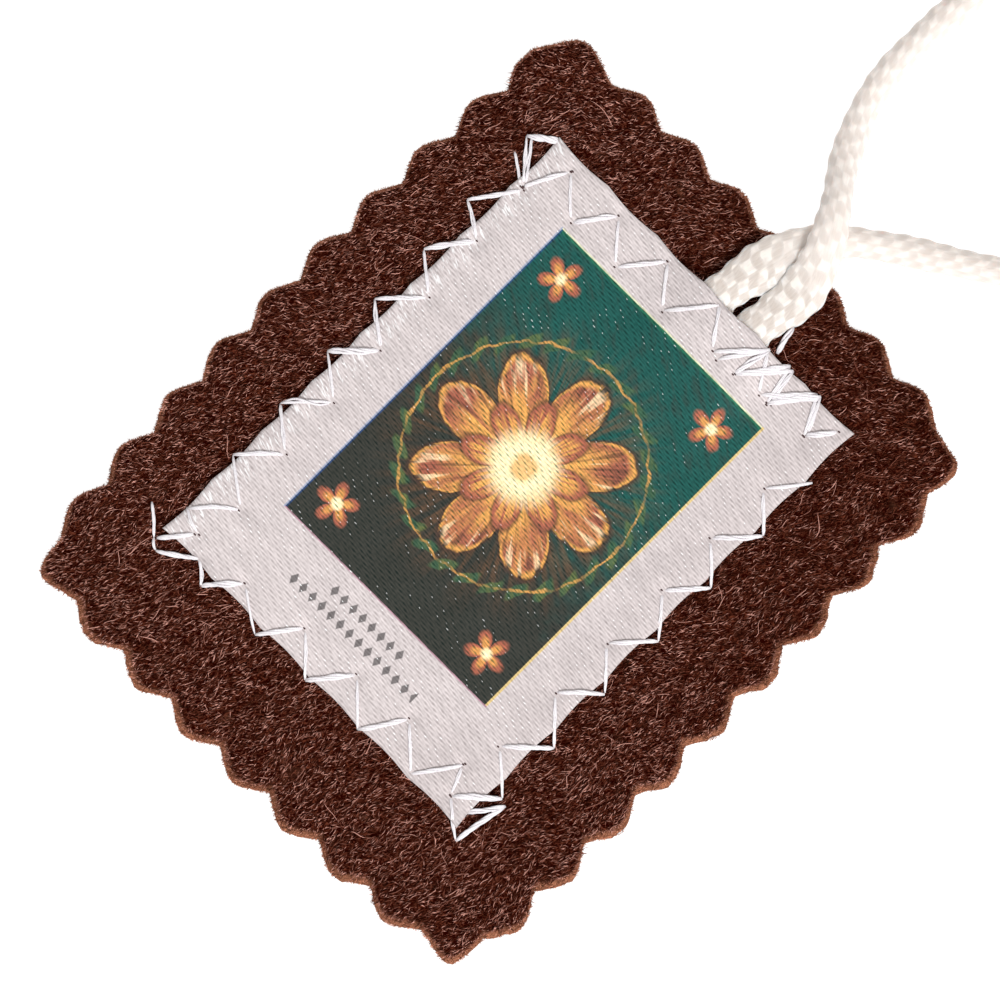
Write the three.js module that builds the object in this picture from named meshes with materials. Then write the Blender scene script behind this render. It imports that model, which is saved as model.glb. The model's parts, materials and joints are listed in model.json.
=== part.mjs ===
// A small devotional scapular, laid flat on a surface: two felt panels with scalloped edges, a satin
// patch sewn on each, and two thin braided cords that join the panels. The unseen length of the cords
// is wound into one flat coil between the panels. Millimetres, +X to the front panel's right, +Y from
// the front panel towards its cords, +Z up. The origin is at the middle of the front panel's underside.
import * as THREE from "three";

// Driving dimensions
const FELT_THICK = 2.0;
const SEAM_GAP = 0.3;
const PATCH_THICK = 1.0;
const CORD_DIAMETER = 2.1;
const BACK_CENTRE_Y = 126;

// The scallops of a cutting blade: a blunt crest, blended with a plain wave that rounds the troughs
const CREST_POWER = 1.8;
const WAVE_SHARE = 0.45;
const STEPS_PER_SCALLOP = 8;

// The felt's edge, counterclockwise from the lower left. Each row is a run of equal scallops between
// two troughs: x and y of its last trough, how many scallops lead there, how deep they are, how far
// the run bulges outwards, and where along each scallop its crest is, from 0 to 1.
const EDGE_START = { x: -20.85, y: -24.45 };
const EDGE_RUNS = [
  { name: "lower left corner", x: -16.9, y: -26.8, count: 1, depth: 2.0, bulge: 0, crest: 0.46 },
  { name: "bottom", x: 17.6, y: -26.05, count: 7, depth: 1.25, bulge: 0.45, crest: 0.5 },
  { name: "lower right corner", x: 21.25, y: -23.35, count: 1, depth: 2.1, bulge: 0, crest: 0.52 },
  { name: "right", x: 21.2, y: 22.2, count: 9, depth: 1.3, bulge: 0.4, crest: 0.5 },
  { name: "upper right corner", x: 18.35, y: 25.85, count: 1, depth: 1.85, bulge: 0, crest: 0.44 },
  { name: "top", x: -15.8, y: 26.9, count: 7, depth: 1.05, bulge: 0.6, crest: 0.5 },
  { name: "upper left corner", x: -21.7, y: 24.8, count: 1, depth: 2.0, bulge: 0, crest: 0.5 },
  { name: "upper left shoulder", x: -20.85, y: 21.4, count: 1, depth: 0.45, bulge: 0, crest: 0.5 },
  { name: "left", x: -20.85, y: -24.45, count: 9, depth: 1.1, bulge: 0.95, crest: 0.5 },
];

// The patch's corners, a little out of square as it was cut
const PATCH_CORNERS = {
  lowerLeft: { x: -16.1, y: -18.6 },
  lowerRight: { x: 14.1, y: -18.9 },
  upperLeft: { x: -15.8, y: 21.5 },
  upperRight: { x: 14.3, y: 21.4 },
};
const PATCH_STEPS_X = 22;
const PATCH_STEPS_Y = 26;
const EDGE_PULL = 0.2;
const PULLS_ACROSS = 6;
const PULLS_UP = 8;

// Each patch stands up over the flattened cord ends that are tucked under its upper edge, and the
// middle between those ends lies at its own x on each panel
const TUCK = { halfWidth: 4.2, length: 5.5, rise: 0.8 };
const FRONT_TUCK_X = 2.3;
const BACK_TUCK_X = -2.4;

// The coil: turns lie side by side in two layers, around a middle ring
const COIL_CENTRE = { x: 5, y: 72 };
const COIL_INNER = 5.0;
const COIL_OUTER = 17.9;
const COIL_HEIGHT = 4.35;
const COIL_CORNER = 0.7;
const COIL_SIDES = 64;

// Routes of the cords' free stretches, in millimetres: x, y and the height of the cord's middle
const CORD_SIDES = 8;
const CORD_STEP = 2.1;
const FRONT_CORD_1 = [
  [3.85, 22.0, 3.36], [4.3, 23.6, 3.38], [4.5, 25.4, 3.8], [4.15, 27.5, 4.75], [3.25, 29.5, 5.35],
  [2.3, 31.1, 4.85], [1.4, 32.5, 3.65], [0.1, 34.5, 2.05], [-1.0, 36.8, 1.2], [-1.9, 39.2, 1.08],
  [-2.4, 42.2, 1.08], [-2.4, 45.0, 1.08], [-2.2, 47.8, 1.08], [-1.9, 50.4, 1.08], [-1.0, 54.6, 1.08],
];
const FRONT_CORD_2 = [
  [0.6, 21.8, 3.36], [0.9, 23.8, 3.36], [1.4, 26.1, 3.36], [1.85, 27.6, 3.38], [2.6, 29.1, 3.08],
  [4.2, 31.0, 1.8], [7.0, 33.0, 1.12], [10.0, 34.9, 1.08], [13.4, 37.1, 1.08], [16.8, 39.9, 1.08],
  [19.8, 43.6, 1.08], [21.9, 48.3, 1.08], [22.9, 53.5, 1.08], [23.0, 58.8, 1.08], [22.65, 64.4, 1.08],
];
const BACK_CORD_1 = [
  [11.2, 90.1, 2.8], [10.2, 91.8, 1.9], [8.8, 93.5, 1.4], [7.0, 95.3, 2.1], [5.0, 97.2, 3.4],
  [2.9, 99.4, 3.45], [1.3, 101.6, 3.36], [0.6, 104.0, 3.36],
];
const BACK_CORD_2 = [
  [15.9, 87.8, 2.7], [14.7, 89.9, 1.6], [13.0, 92.3, 1.15], [10.9, 94.7, 1.85], [8.7, 96.9, 3.4],
  [6.5, 99.3, 3.45], [4.9, 101.6, 3.36], [4.2, 104.0, 3.36],
];

const FELT_BROWN = new THREE.MeshStandardMaterial({ color: 0x552519, roughness: 1.0, metalness: 0 });
const SATIN_WHITE = new THREE.MeshStandardMaterial({ color: 0xded7d8, roughness: 0.55, metalness: 0 });
const CORD_WHITE = new THREE.MeshStandardMaterial({ color: 0xf2ede6, roughness: 0.6, metalness: 0 });

// One scallop's height above its base line, from trough to trough, with its crest moved along it
function scallopHeight(along, run) {
  const shifted = Math.pow(along, Math.log(0.5) / Math.log(run.crest));
  const blunt = 1 - Math.pow(Math.abs(2 * shifted - 1), CREST_POWER);
  const wave = (1 - Math.cos(2 * Math.PI * shifted)) / 2;
  return run.depth * (blunt * (1 - WAVE_SHARE) + wave * WAVE_SHARE);
}

// Points of one run: an even base line that bulges as a parabola, with the scallops standing on it
function edgeRun(from, run) {
  const points = [];
  const lengthX = run.x - from.x;
  const lengthY = run.y - from.y;
  const length = Math.hypot(lengthX, lengthY);
  const steps = run.count * STEPS_PER_SCALLOP;
  for (let step = 1; step <= steps; step += 1) {
    const t = step / steps;
    const along = (step % STEPS_PER_SCALLOP) / STEPS_PER_SCALLOP;
    const out = 4 * run.bulge * t * (1 - t) + scallopHeight(along, run);
    points.push(new THREE.Vector2(
      from.x + lengthX * t + (lengthY / length) * out,
      from.y + lengthY * t - (lengthX / length) * out,
    ));
  }
  return points;
}

function feltShape() {
  const points = [];
  let from = EDGE_START;
  for (const run of EDGE_RUNS) {
    points.push(...edgeRun(from, run));
    from = run;
  }
  return new THREE.Shape(points);
}

function feltPanel(name) {
  const geometry = new THREE.ExtrudeGeometry(feltShape(), { depth: FELT_THICK, bevelEnabled: false });
  const mesh = new THREE.Mesh(geometry, FELT_BROWN);
  mesh.name = name;
  return mesh;
}

// How far an edge is drawn in between its stitches
function edgePull(along, pulls) {
  return EDGE_PULL * Math.abs(Math.sin(Math.PI * pulls * along));
}

// A point of the patch in plan: across and up both run from -1 to 1, and its edges draw in a little
function patchPlace(across, up) {
  const a = (across + 1) / 2;
  const b = (up + 1) / 2;
  const { lowerLeft, lowerRight, upperLeft, upperRight } = PATCH_CORNERS;
  const mix = (key) => (lowerLeft[key] * (1 - a) + lowerRight[key] * a) * (1 - b)
    + (upperLeft[key] * (1 - a) + upperRight[key] * a) * b;
  return {
    x: mix("x") - across ** 5 * edgePull(b, PULLS_UP),
    y: mix("y") - up ** 5 * edgePull(a, PULLS_ACROSS),
  };
}

// The low mound over the tucked cord ends: a bell across, fading away from the upper edge
function tuckRise(x, y, tuckX) {
  const across = (x - tuckX) / TUCK.halfWidth;
  const down = (PATCH_CORNERS.upperLeft.y - y) / TUCK.length;
  return TUCK.rise * Math.exp(-(across ** 2) - down ** 2);
}

function satinPatch(name, tuckX) {
  const geometry = new THREE.BoxGeometry(2, 2, PATCH_THICK, PATCH_STEPS_X, PATCH_STEPS_Y, 1);
  const place = geometry.attributes.position;
  const underside = FELT_THICK + SEAM_GAP;
  for (let i = 0; i < place.count; i += 1) {
    const { x, y } = patchPlace(place.getX(i), place.getY(i));
    const onTop = place.getZ(i) > 0;
    place.setXYZ(i, x, y, onTop ? underside + PATCH_THICK + tuckRise(x, y, tuckX) : underside);
  }
  const mesh = new THREE.Mesh(geometry, SATIN_WHITE);
  mesh.name = name;
  return mesh;
}

// A cord's free stretch: a round section carried along a smooth curve through its route
function cordTube(name, route) {
  const section = new THREE.Shape();
  for (let i = 0; i < CORD_SIDES; i += 1) {
    const angle = (2 * Math.PI * (i + 0.5)) / CORD_SIDES;
    const x = (CORD_DIAMETER / 2) * Math.cos(angle);
    const y = (CORD_DIAMETER / 2) * Math.sin(angle);
    if (i === 0) section.moveTo(x, y);
    else section.lineTo(x, y);
  }
  section.closePath();
  const curve = new THREE.CatmullRomCurve3(
    route.map(([x, y, z]) => new THREE.Vector3(x, y, z)), false, "centripetal",
  );
  const steps = Math.ceil(curve.getLength() / CORD_STEP);
  const geometry = new THREE.ExtrudeGeometry(section, { steps, extrudePath: curve });
  const mesh = new THREE.Mesh(geometry, CORD_WHITE);
  mesh.name = name;
  return mesh;
}

// The coil's outer shape: a flat ring with cut corners, turned about its own middle
function cordCoil(name) {
  const profile = [
    [COIL_INNER + COIL_CORNER, 0], [COIL_OUTER - COIL_CORNER, 0],
    [COIL_OUTER, COIL_CORNER], [COIL_OUTER, COIL_HEIGHT - COIL_CORNER],
    [COIL_OUTER - COIL_CORNER, COIL_HEIGHT], [COIL_INNER + COIL_CORNER, COIL_HEIGHT],
    [COIL_INNER, COIL_HEIGHT - COIL_CORNER], [COIL_INNER, COIL_CORNER],
    [COIL_INNER + COIL_CORNER, 0],
  ].map(([radius, height]) => new THREE.Vector2(radius, height));
  const geometry = new THREE.LatheGeometry(profile, COIL_SIDES);
  const mesh = new THREE.Mesh(geometry, CORD_WHITE);
  mesh.name = name;
  mesh.rotation.x = Math.PI / 2;
  mesh.position.set(COIL_CENTRE.x, COIL_CENTRE.y, 0);
  return mesh;
}

const scapular = new THREE.Group();

scapular.add(feltPanel("front_felt"));
scapular.add(satinPatch("front_patch", FRONT_TUCK_X));

// The back panel lies beyond the coil, turned about so that its upper edge faces the cords
const back = new THREE.Group();
back.position.y = BACK_CENTRE_Y;
back.rotation.z = Math.PI;
back.add(feltPanel("back_felt"));
back.add(satinPatch("back_patch", BACK_TUCK_X));
scapular.add(back);

scapular.add(cordTube("cord_1_front", FRONT_CORD_1));
scapular.add(cordTube("cord_2_front", FRONT_CORD_2));
scapular.add(cordCoil("cord_coil"));
scapular.add(cordTube("cord_1_back", BACK_CORD_1));
scapular.add(cordTube("cord_2_back", BACK_CORD_2));

export default scapular;
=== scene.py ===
# A small devotional scapular: scalloped felt panels, satin patches and braided cords.
import json
import math

import bpy
import numpy as np
from bpy.props import FloatProperty, FloatVectorProperty, PointerProperty
from bpy.types import Operator, Panel, PropertyGroup
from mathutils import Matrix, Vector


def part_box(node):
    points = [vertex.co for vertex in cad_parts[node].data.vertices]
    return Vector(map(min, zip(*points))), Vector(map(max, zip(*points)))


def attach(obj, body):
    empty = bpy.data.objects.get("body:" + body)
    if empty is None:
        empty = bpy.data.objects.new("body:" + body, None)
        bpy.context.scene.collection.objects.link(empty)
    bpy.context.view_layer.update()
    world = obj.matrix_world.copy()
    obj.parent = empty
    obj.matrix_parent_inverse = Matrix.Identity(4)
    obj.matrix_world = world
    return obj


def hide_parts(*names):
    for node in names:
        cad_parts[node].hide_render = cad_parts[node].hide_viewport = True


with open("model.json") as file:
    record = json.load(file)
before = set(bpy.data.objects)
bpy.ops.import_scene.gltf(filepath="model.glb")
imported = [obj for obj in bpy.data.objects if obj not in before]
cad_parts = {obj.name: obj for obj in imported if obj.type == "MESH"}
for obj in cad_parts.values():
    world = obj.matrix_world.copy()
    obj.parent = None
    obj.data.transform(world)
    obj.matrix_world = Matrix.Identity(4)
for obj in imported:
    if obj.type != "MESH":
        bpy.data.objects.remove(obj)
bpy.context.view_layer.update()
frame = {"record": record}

bl_info = {
    "name": "Devotional scapular",
    "version": (1, 0, 0),
    "blender": (4, 5, 0),
    "location": "View3D > Sidebar > Scapular",
    "description": "Builds the felt, satin, cords and stitching of a small scapular",
    "category": "Add Mesh",
}

MM = 0.001
SEED = 20
# The nap's lie above the photograph's level, and how much that grows for each millimetre downwards
NAP_LIE = math.radians(22)
NAP_LEAN = math.radians(0.47)

# Places that come from the frame, in millimetres
FELT_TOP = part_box("front_felt")[1].z / MM
BACK_CENTRE_Y = frame["record"]["mounts"][1]["pos_m"][1] / MM
# The panels: where each one's middle is, how it is turned, the middle x between its cord ends, the
# columns and rows of its satin, and its share of the front's nap
PANELS = (
    {"name": "front", "centre_y": 0.0, "turn": 1.0, "tuck_x": 2.3, "satin_grid": (91, 121),
     "nap_share": 1.0},
    {"name": "back", "centre_y": BACK_CENTRE_Y, "turn": -1.0, "tuck_x": -2.4, "satin_grid": (41, 55),
     "nap_share": 0.27},
)

# The photograph: 1000 pixels across, seen from straight above, turned by 45 degrees
PHOTO_WIDTH = 72.0
PHOTO_CENTRE_X = -0.36
PHOTO_TURN = math.radians(45)
LENS = 200.0
SENSOR = 36.0

# The stage, in metres: how far the floor reaches, and the soft lamp's size, distance, turn, and tilt
# from straight above
FLOOR_REACH = 2.0
LAMP_SIZE = 0.62
LAMP_DISTANCE = 2.0
LAMP_TURN = PHOTO_TURN - math.radians(62)
LAMP_TILT = math.radians(37)

# The felt's edge, as it is cut: runs of scallops, each from the last trough to x, y
EDGE_START = (-20.85, -24.45)
EDGE_RUNS = (
    {"x": -16.9, "y": -26.8, "count": 1, "depth": 2.0, "bulge": 0.0, "crest": 0.46},
    {"x": 17.6, "y": -26.05, "count": 7, "depth": 1.25, "bulge": 0.45, "crest": 0.5},
    {"x": 21.25, "y": -23.35, "count": 1, "depth": 2.1, "bulge": 0.0, "crest": 0.52},
    {"x": 21.2, "y": 22.2, "count": 9, "depth": 1.3, "bulge": 0.4, "crest": 0.5},
    {"x": 18.35, "y": 25.85, "count": 1, "depth": 1.85, "bulge": 0.0, "crest": 0.44},
    {"x": -15.8, "y": 26.9, "count": 7, "depth": 1.05, "bulge": 0.6, "crest": 0.5},
    {"x": -21.7, "y": 24.8, "count": 1, "depth": 2.0, "bulge": 0.0, "crest": 0.5},
    {"x": -20.85, "y": 21.4, "count": 1, "depth": 0.45, "bulge": 0.0, "crest": 0.5},
    {"x": -20.85, "y": -24.45, "count": 9, "depth": 1.1, "bulge": 0.95, "crest": 0.5},
)
# A scallop's bluntness, the share of it that is a plain wave, and its points
CREST_POWER = 1.8
WAVE_SHARE = 0.45
STEPS_PER_SCALLOP = 12

# The felt's cut edge, from the underside up: how far it stands in from the outline, and its height
FELT_RIM = (
    {"inset": 0.25, "height": 0.0},
    {"inset": 0.05, "height": 0.2},
    {"inset": 0.0, "height": 0.55},
    {"inset": 0.12, "height": 0.95},
    {"inset": 0.28, "height": 1.3},
    {"inset": 0.46, "height": 1.62},
    {"inset": 0.68, "height": 1.85},
    {"inset": 0.95, "height": 1.97},
)

# How wide the edge's slope is where it faces the photograph's upper side, as a share, and how the
# share depends on the facing
RIM_ABOVE = 0.45
RIM_SIDEWAYS = 0.62
RIM_CHANGE = 0.8
# The sizes of the rings on the underside and on the top, as shares of the outline
UNDER_RINGS = (0.35, 0.8)
TOP_RINGS = (*np.linspace(0.95, 0.62, 24), *np.linspace(0.5, 0.1, 4))
# How far the cut edge strays from its outline, and the waves of the matted surface
EDGE_STRAY = 0.10
FELT_WAVES = ({"height": 0.06, "length": 1.1}, {"height": 0.05, "length": 3.5})
# The nap's clumps: their width, how many times longer they are, and their height
TUFT_WIDTH = 0.55
TUFT_STRETCH = 2.0
TUFT_HEIGHT = 0.05

# The nap's layers: their material's darkest colour, the number of fibres in front, whether these stand
# out from the cut edge, the scatter of their headings, their length and width beside the usual, their
# least and most lift, the beta curve that spreads their shades, the rings of each fibre, the share of
# fibres given a painted highlight and, for those on top, the least distance from the outline
NAP_LAYERS = (
    {"name": "under", "dark": "felt_deep", "count": 26000, "on_edge": False, "spread": 0.52,
     "length": 1.0, "width": 1.2, "lift": (0.02, 0.09), "shade": (1.0, 5.0), "rings": 1,
     "painted_highlight": 0.0, "margin": 0.04},
    {"name": "over", "dark": "felt_deep", "count": 32500, "on_edge": False, "spread": 0.38,
     "length": 0.85, "width": 0.76, "lift": (0.05, 0.18), "shade": (0.95, 1.7), "rings": 1,
     "painted_highlight": 0.03, "margin": 0.04},
    {"name": "long", "dark": "felt_mid", "count": 2200, "on_edge": False, "spread": 0.3,
     "length": 1.6, "width": 0.55, "lift": (0.10, 0.20), "shade": (1.6, 2.8), "rings": 3,
     "painted_highlight": 0.05, "margin": 0.9},
    {"name": "loose", "dark": "felt_mid", "count": 130, "on_edge": False, "spread": 0.9,
     "length": 2.4, "width": 0.65, "lift": (0.16, 0.3), "shade": (4.0, 3.0), "rings": 5,
     "painted_highlight": 0.15, "margin": 1.8},
    {"name": "edge", "dark": "felt_deep", "count": 13000, "on_edge": True, "spread": 1.1,
     "length": 0.6, "width": 0.85, "lift": (0.0, 0.08), "shade": (1.0, 2.4), "rings": 1,
     "painted_highlight": 0.02},
)
# Every fibre: the scatter of its length, its least and most width, and the scatter of its bend and crimp
FIBRE = {"length": 0.3, "width": (0.75, 1.3), "bend": 0.1, "crimp": 0.045}
# The nap's shade: soft clouds, and painted shade, how much darker it grows towards the camera's right,
# from where and over what distance
CLOUDS = {"share": 0.22, "length": 2.2}
RIGHT_PAINTED_SHADE = {"share": 0.36, "from": 8.0, "over": 16.0}
# Half the width and height that roots are strewn over, and the place under the patch that has none
NAP_REACH = (23.5, 29.0)
BARE = {"x": -0.9, "y": 1.35, "half_width": 14.2, "half_height": 19.2}
# The fibres of the cut edge: how far in they stand, how much thinner they are, how much of them lies
# behind the root, the length left to them, and how much lighter they are
EDGE_DEPTH = 0.75
EDGE_THIN = 0.8
EDGE_BACK = 0.3
EDGE_ROOM = 0.15
# partly painted sheen: the edge fibres are made lighter
EDGE_SHADE = 0.1

# The patch's corners and the mound over the tucked cord ends, as in the solids
PATCH_LOWER = ((-16.1, -18.6), (14.1, -18.9))
PATCH_UPPER = ((-15.8, 21.5), (14.3, 21.4))
TUCK = {"half_width": 4.6, "length": 5.5, "rise": 1.12}
# The middle and half the height of the square that tells where a place of the panel is on the patch
PATCH_MIDDLE_Y = 1.4
PATCH_HALF_HEIGHT = 20.15
# How far the stitches draw the patch's edges in, and how many times on each
EDGE_PULL = 0.2
PULLS_ACROSS = 6
PULLS_UP = 8
# The satin above the felt: the height of its edge, the crown between, its soft waves, and the dimples
SATIN_EDGE = 0.48
SATIN_CROWN = 0.28
SATIN_WAVES = {"height": 0.035, "length": 3.2}
DIMPLE = {"depth": 0.24, "reach": 0.42}

# Zigzag stitching on each side: the rows of inner and outer needle holes, from first to last
STITCH_ROWS = (
    {"side": "left", "inner": (-13.15, -13.7, -15.0, 17.0), "outer": (-15.95, -16.3, -17.25, 13.8),
     "holes": 7, "outer_first": True},
    {"side": "bottom", "inner": (-8.9, -16.95, 11.2, -15.3), "outer": (-11.2, -19.65, 9.2, -18.5),
     "holes": 5, "outer_first": True},
    {"side": "right", "inner": (12.15, -17.6, 12.35, 14.0), "outer": (14.95, -15.2, 14.85, 16.9),
     "holes": 7, "outer_first": False},
    {"side": "top", "inner": (-10.9, 17.7, 11.9, 18.6), "outer": (-13.5, 20.25, 10.5, 21.5),
     "holes": 6, "outer_first": True},
)
# The odd stitches where the needle turned a corner or went back over its work
CORNER_STITCHES = (
    ((-15.2, 17.0), (-17.4, 18.5)),
    ((-15.1, 17.1), (-17.55, 19.9), (-15.75, 21.35)),
    ((-15.2, 17.0), (-13.5, 20.25)),
    ((-15.0, 17.2), (-17.3, 20.15), (-15.6, 21.2)),
    ((-18.0, -17.8), (-16.1, -19.5), (-15.3, -20.1), (-12.7, -18.3)),
    ((-15.9, -19.4), (-14.1, -17.2)),
    ((-15.95, -16.3), (-13.9, -17.1)),
    ((-12.7, -18.3), (-11.2, -19.65)),
    ((12.05, -17.5), (14.75, -19.6), (15.5, -15.3), (13.9, -17.6)),
    ((12.15, -17.6), (14.7, -15.5)),
    ((11.2, -15.3), (12.15, -17.6)),
    ((3.5, 18.1), (5.7, 21.35), (5.1, 18.2), (7.6, 21.6), (8.3, 18.35), (10.3, 21.45)),
    ((5.2, 18.35), (8.0, 21.5), (8.5, 18.6), (10.8, 21.35), (12.0, 18.9)),
    ((8.2, 18.5), (10.7, 21.6), (11.8, 18.7), (13.4, 20.7)),
)
# A strand that has come loose from the first cord's edge
LOOSE_STRAND = ((6.3, 21.55), (5.7, 23.8))
LOOSE_STRAND_WIDTH = 0.46

# Where the patch's edge holds a flattened cord: how much narrower it is, how far that is from its end,
# and over what distance
CORD_PINCH = 0.75
PINCH_AT = 3.7
PINCH_REACH = 2.2

# The sewing thread: its plies, each one's share of its width, how far they lie apart, how much less
# that is upwards, the length of one turn, and their facets
PLIES = 4
PLY_SHARE = 0.5
PLY_SPREAD = 0.30
PLY_FLATNESS = 0.45
PLY_TWIST = 4.0
PLY_STEPS = 10
PLY_SIDES = 6
# Each leg: its middle's height above the cloth as a share of its width, how far it arches, the
# scatter of its bow to the side, and how its ends dip into the cloth
LEG_LIFT = 0.28
LEG_ARCH = 0.03
LEG_BOW = 0.05
DIP = {"depth": 0.22, "reach": 0.18}
# How far a leg stops short of its needle hole on the satin, and how high the nap holds it off the felt
SHORT_OF_HOLE = 0.13
NAP_UNDER_THREAD = 0.2
# How much thinner the legs are that run up the photograph, as a share
UPRIGHT_TIGHTNESS = 0.34
# A needle hole's half sizes along and across the weave and upwards, and its facets
HOLE_AXES = (0.13, 0.075, 0.05)
HOLE_SIDES = 8
HOLE_RINGS = 3

# A cord's mean radius, its height where it lies free and where it is pressed flat, its facets round,
# and the steps along it where the photograph shows it and elsewhere
CORD_RADIUS = 1.05
CORD_TALL = 1.95
CORD_FLAT_TALL = 0.95
CORD_SIDES = 40
STEP_SEEN = 0.12
STEP_AWAY = 0.42
# The length of each cord that is built in short steps
SEEN_LENGTH_1 = 38.0
SEEN_LENGTH_2 = 28.0
# A cord's flattened ends: where, how far each is wholly flat, and how far off the cord is round
CORD_FLATS = (
    {"at": 0.0, "until": 6.5, "free": 15.5},
    {"at": 1.0, "until": 4.5, "free": 11.0},
)
# The slow waves of a cord's width: each one's share, its length for a radian, and its start
CORD_SWELLS = ((0.045, 2.3, 0.0), (0.03, 0.97, 1.0))
# The cords' free stretches: x, y and the height of the middle, close to the solids' routes
FRONT_CORD_1 = (
    (3.9, 21.9, 3.36), (4.15, 23.6, 3.38), (4.35, 25.4, 3.45), (4.1, 27.2, 3.75), (3.35, 29.2, 4.1),
    (2.3, 31.1, 3.85), (1.4, 32.5, 3.1), (0.1, 34.5, 1.95), (-1.0, 36.8, 1.2), (-1.9, 39.2, 1.08),
    (-2.4, 42.2, 1.08), (-2.4, 45.0, 1.08), (-2.2, 47.8, 1.08), (-1.9, 50.4, 1.08), (-1.0, 54.6, 1.08),
)
FRONT_CORD_2 = (
    (0.45, 21.8, 3.36), (0.8, 23.8, 3.36), (1.35, 26.0, 3.3), (1.9, 27.6, 3.15), (2.75, 29.2, 2.75),
    (4.3, 30.95, 1.7), (7.0, 33.0, 1.12), (10.0, 34.9, 1.08), (13.4, 37.1, 1.08), (16.8, 39.9, 1.08),
    (19.8, 43.6, 1.08), (21.9, 48.3, 1.08), (22.9, 53.5, 1.08), (23.0, 58.8, 1.08), (22.65, 64.4, 1.08),
)
BACK_CORD_1 = (
    (11.2, 90.1, 2.8), (10.2, 91.8, 1.9), (8.8, 93.5, 1.4), (7.0, 95.3, 2.1), (5.0, 97.2, 3.4),
    (2.9, 99.4, 3.45), (1.3, 101.6, 3.36), (0.6, 104.0, 3.36),
)
BACK_CORD_2 = (
    (15.9, 87.8, 2.7), (14.7, 89.9, 1.6), (13.0, 92.3, 1.15), (10.9, 94.7, 1.85), (8.7, 96.9, 3.4),
    (6.5, 99.3, 3.45), (4.9, 101.6, 3.36), (4.2, 104.0, 3.36),
)
# The ends that lie flattened under the patches, and the ways into the coil and out of it
TUCKED_FRONT_1 = ((3.85, 18.8, 3.2), (3.85, 20.5, 3.25))
TUCKED_FRONT_2 = ((0.3, 18.6, 3.2), (0.4, 20.4, 3.25))
TUCKED_BACK_1 = ((0.5, 105.6, 3.25), (0.45, 107.3, 3.2))
TUCKED_BACK_2 = ((4.3, 105.6, 3.25), (4.3, 107.3, 3.2))
INTO_COIL_1 = ((0.1, 55.6, 1.08), (1.3, 56.15, 1.08), (2.7, 56.3, 1.08))
INTO_COIL_2 = ((22.3, 68.6, 1.08),)
OUT_OF_COIL_1 = ((14.3, 84.6, 3.2),)
OUT_OF_COIL_2 = ((17.6, 84.1, 3.15),)

# The satin's weave: the threads' turn from X, their pitch, and the dash on each thread
WEAVE_TURN = math.radians(6.4)
THREAD_PITCH = 0.202
DASH_PERIOD = 1.21
DASH_SHIFT = 0.661
# The weave's shading as cosines: waves across the threads and across the rows, and each one's share
WEAVE_WAVES = (
    {"threads": 0.0, "rows": 1.0, "share": 1.2},
    {"threads": 1.0, "rows": 1.0, "share": 0.5},
    {"threads": 1.0, "rows": 2.0, "share": 0.18},
    {"threads": 2.0, "rows": 3.0, "share": 0.4},
    {"threads": 1.0, "rows": 0.0, "share": 1.5},
    {"threads": 2.0, "rows": 2.0, "share": 0.25},
)

# The coil: both cords wound side by side, inwards on the surface and outwards on top of that. Its
# centre, the cords' pitch, the outermost turn's radius, the angles in degrees where it begins, climbs,
# is on top and ends, the step between its points, and the height of the lower layer's middle
COIL_CENTRE = (5.0, 72.0)
COIL_PITCH = 2.15
COIL_OUTER_TURN = 16.8
COIL_FIRST = -90.0
COIL_CLIMB = 720.0
COIL_TOP = 780.0
COIL_LAST = 1470.0
COIL_STEP = 12.0
COIL_LOW = 1.08
# The angles at which each cord comes into the coil
COIL_START_1 = -78.0
COIL_START_2 = 6.0

# The braid: columns of facets round the cord, the length of one facet with its gap, how much longer
# than half of that a facet is, its slant, and the facets' height
BRAID_COLUMNS = 10
BRAID_LENGTH = 1.6
BRAID_OVERLAP = 0.2
BRAID_SLANT = 0.4
BRAID_DEPTH = 0.045

# The cut edge's darkest colour as a share of its own, and the heights between which it shows
RIM_DARK = 0.45
RIM_COLOUR_TOP = 1.96
RIM_COLOUR_FULL = 1.6

# The print: its middle, its left, right, lower and upper bounds, and those of the pale line round it
PRINT_MIDDLE = (-0.85, 2.9)
PRINT_BOUNDS = (-11.02, 9.32, -11.22, 16.98)
PRINT_LINE = (-11.12, 9.5, -11.32, 17.1)
PRINT_BLUR = 0.07
UMBER = (0.058, 0.036, 0.026, 1.0)
# The ring of leaves round the medallion, and how far its corner sprigs are from its middle
LEAF_RING = 9.0
SPRIG_ACROSS = 7.6
SPRIG_UP = 11.4
# The rows of lozenges: their height, left and right ends, and the lozenges' pitch
LOZENGE_ROWS = ((-13.0, -4.6, 2.88), (-14.45, -7.3, 5.39))
LOZENGE_PITCH = 0.935
WHITE = (1.0, 1.0, 1.0, 1.0)


class ScapularSizes(PropertyGroup):
    """Sizes of the cloth, the nap, the thread and the cords."""
    satin_thick: FloatProperty(
        name="Satin thickness", description="Thickness of the satin patch",
        default=0.22 * MM, min=0.05 * MM, unit="LENGTH", precision=5)
    nap_length: FloatProperty(
        name="Nap length", description="Mean length of the felt's loose fibres",
        default=0.56 * MM, min=0.2 * MM, unit="LENGTH", precision=5)
    nap_width: FloatProperty(
        name="Fibre width", description="Width of one loose fibre of the felt",
        default=0.075 * MM, min=0.01 * MM, unit="LENGTH", precision=5)
    thread_width: FloatProperty(
        name="Thread width", description="Width of the sewing thread",
        default=0.37 * MM, min=0.05 * MM, unit="LENGTH", precision=5)
    cord_width: FloatProperty(
        name="Cord width", description="Width of a cord where it lies free",
        default=2.15 * MM, min=0.5 * MM, unit="LENGTH", precision=5)
    cord_flat_width: FloatProperty(
        name="Flattened cord width", description="Width of a cord at the patch's edge",
        default=3.6 * MM, min=0.5 * MM, unit="LENGTH", precision=5)


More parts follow.
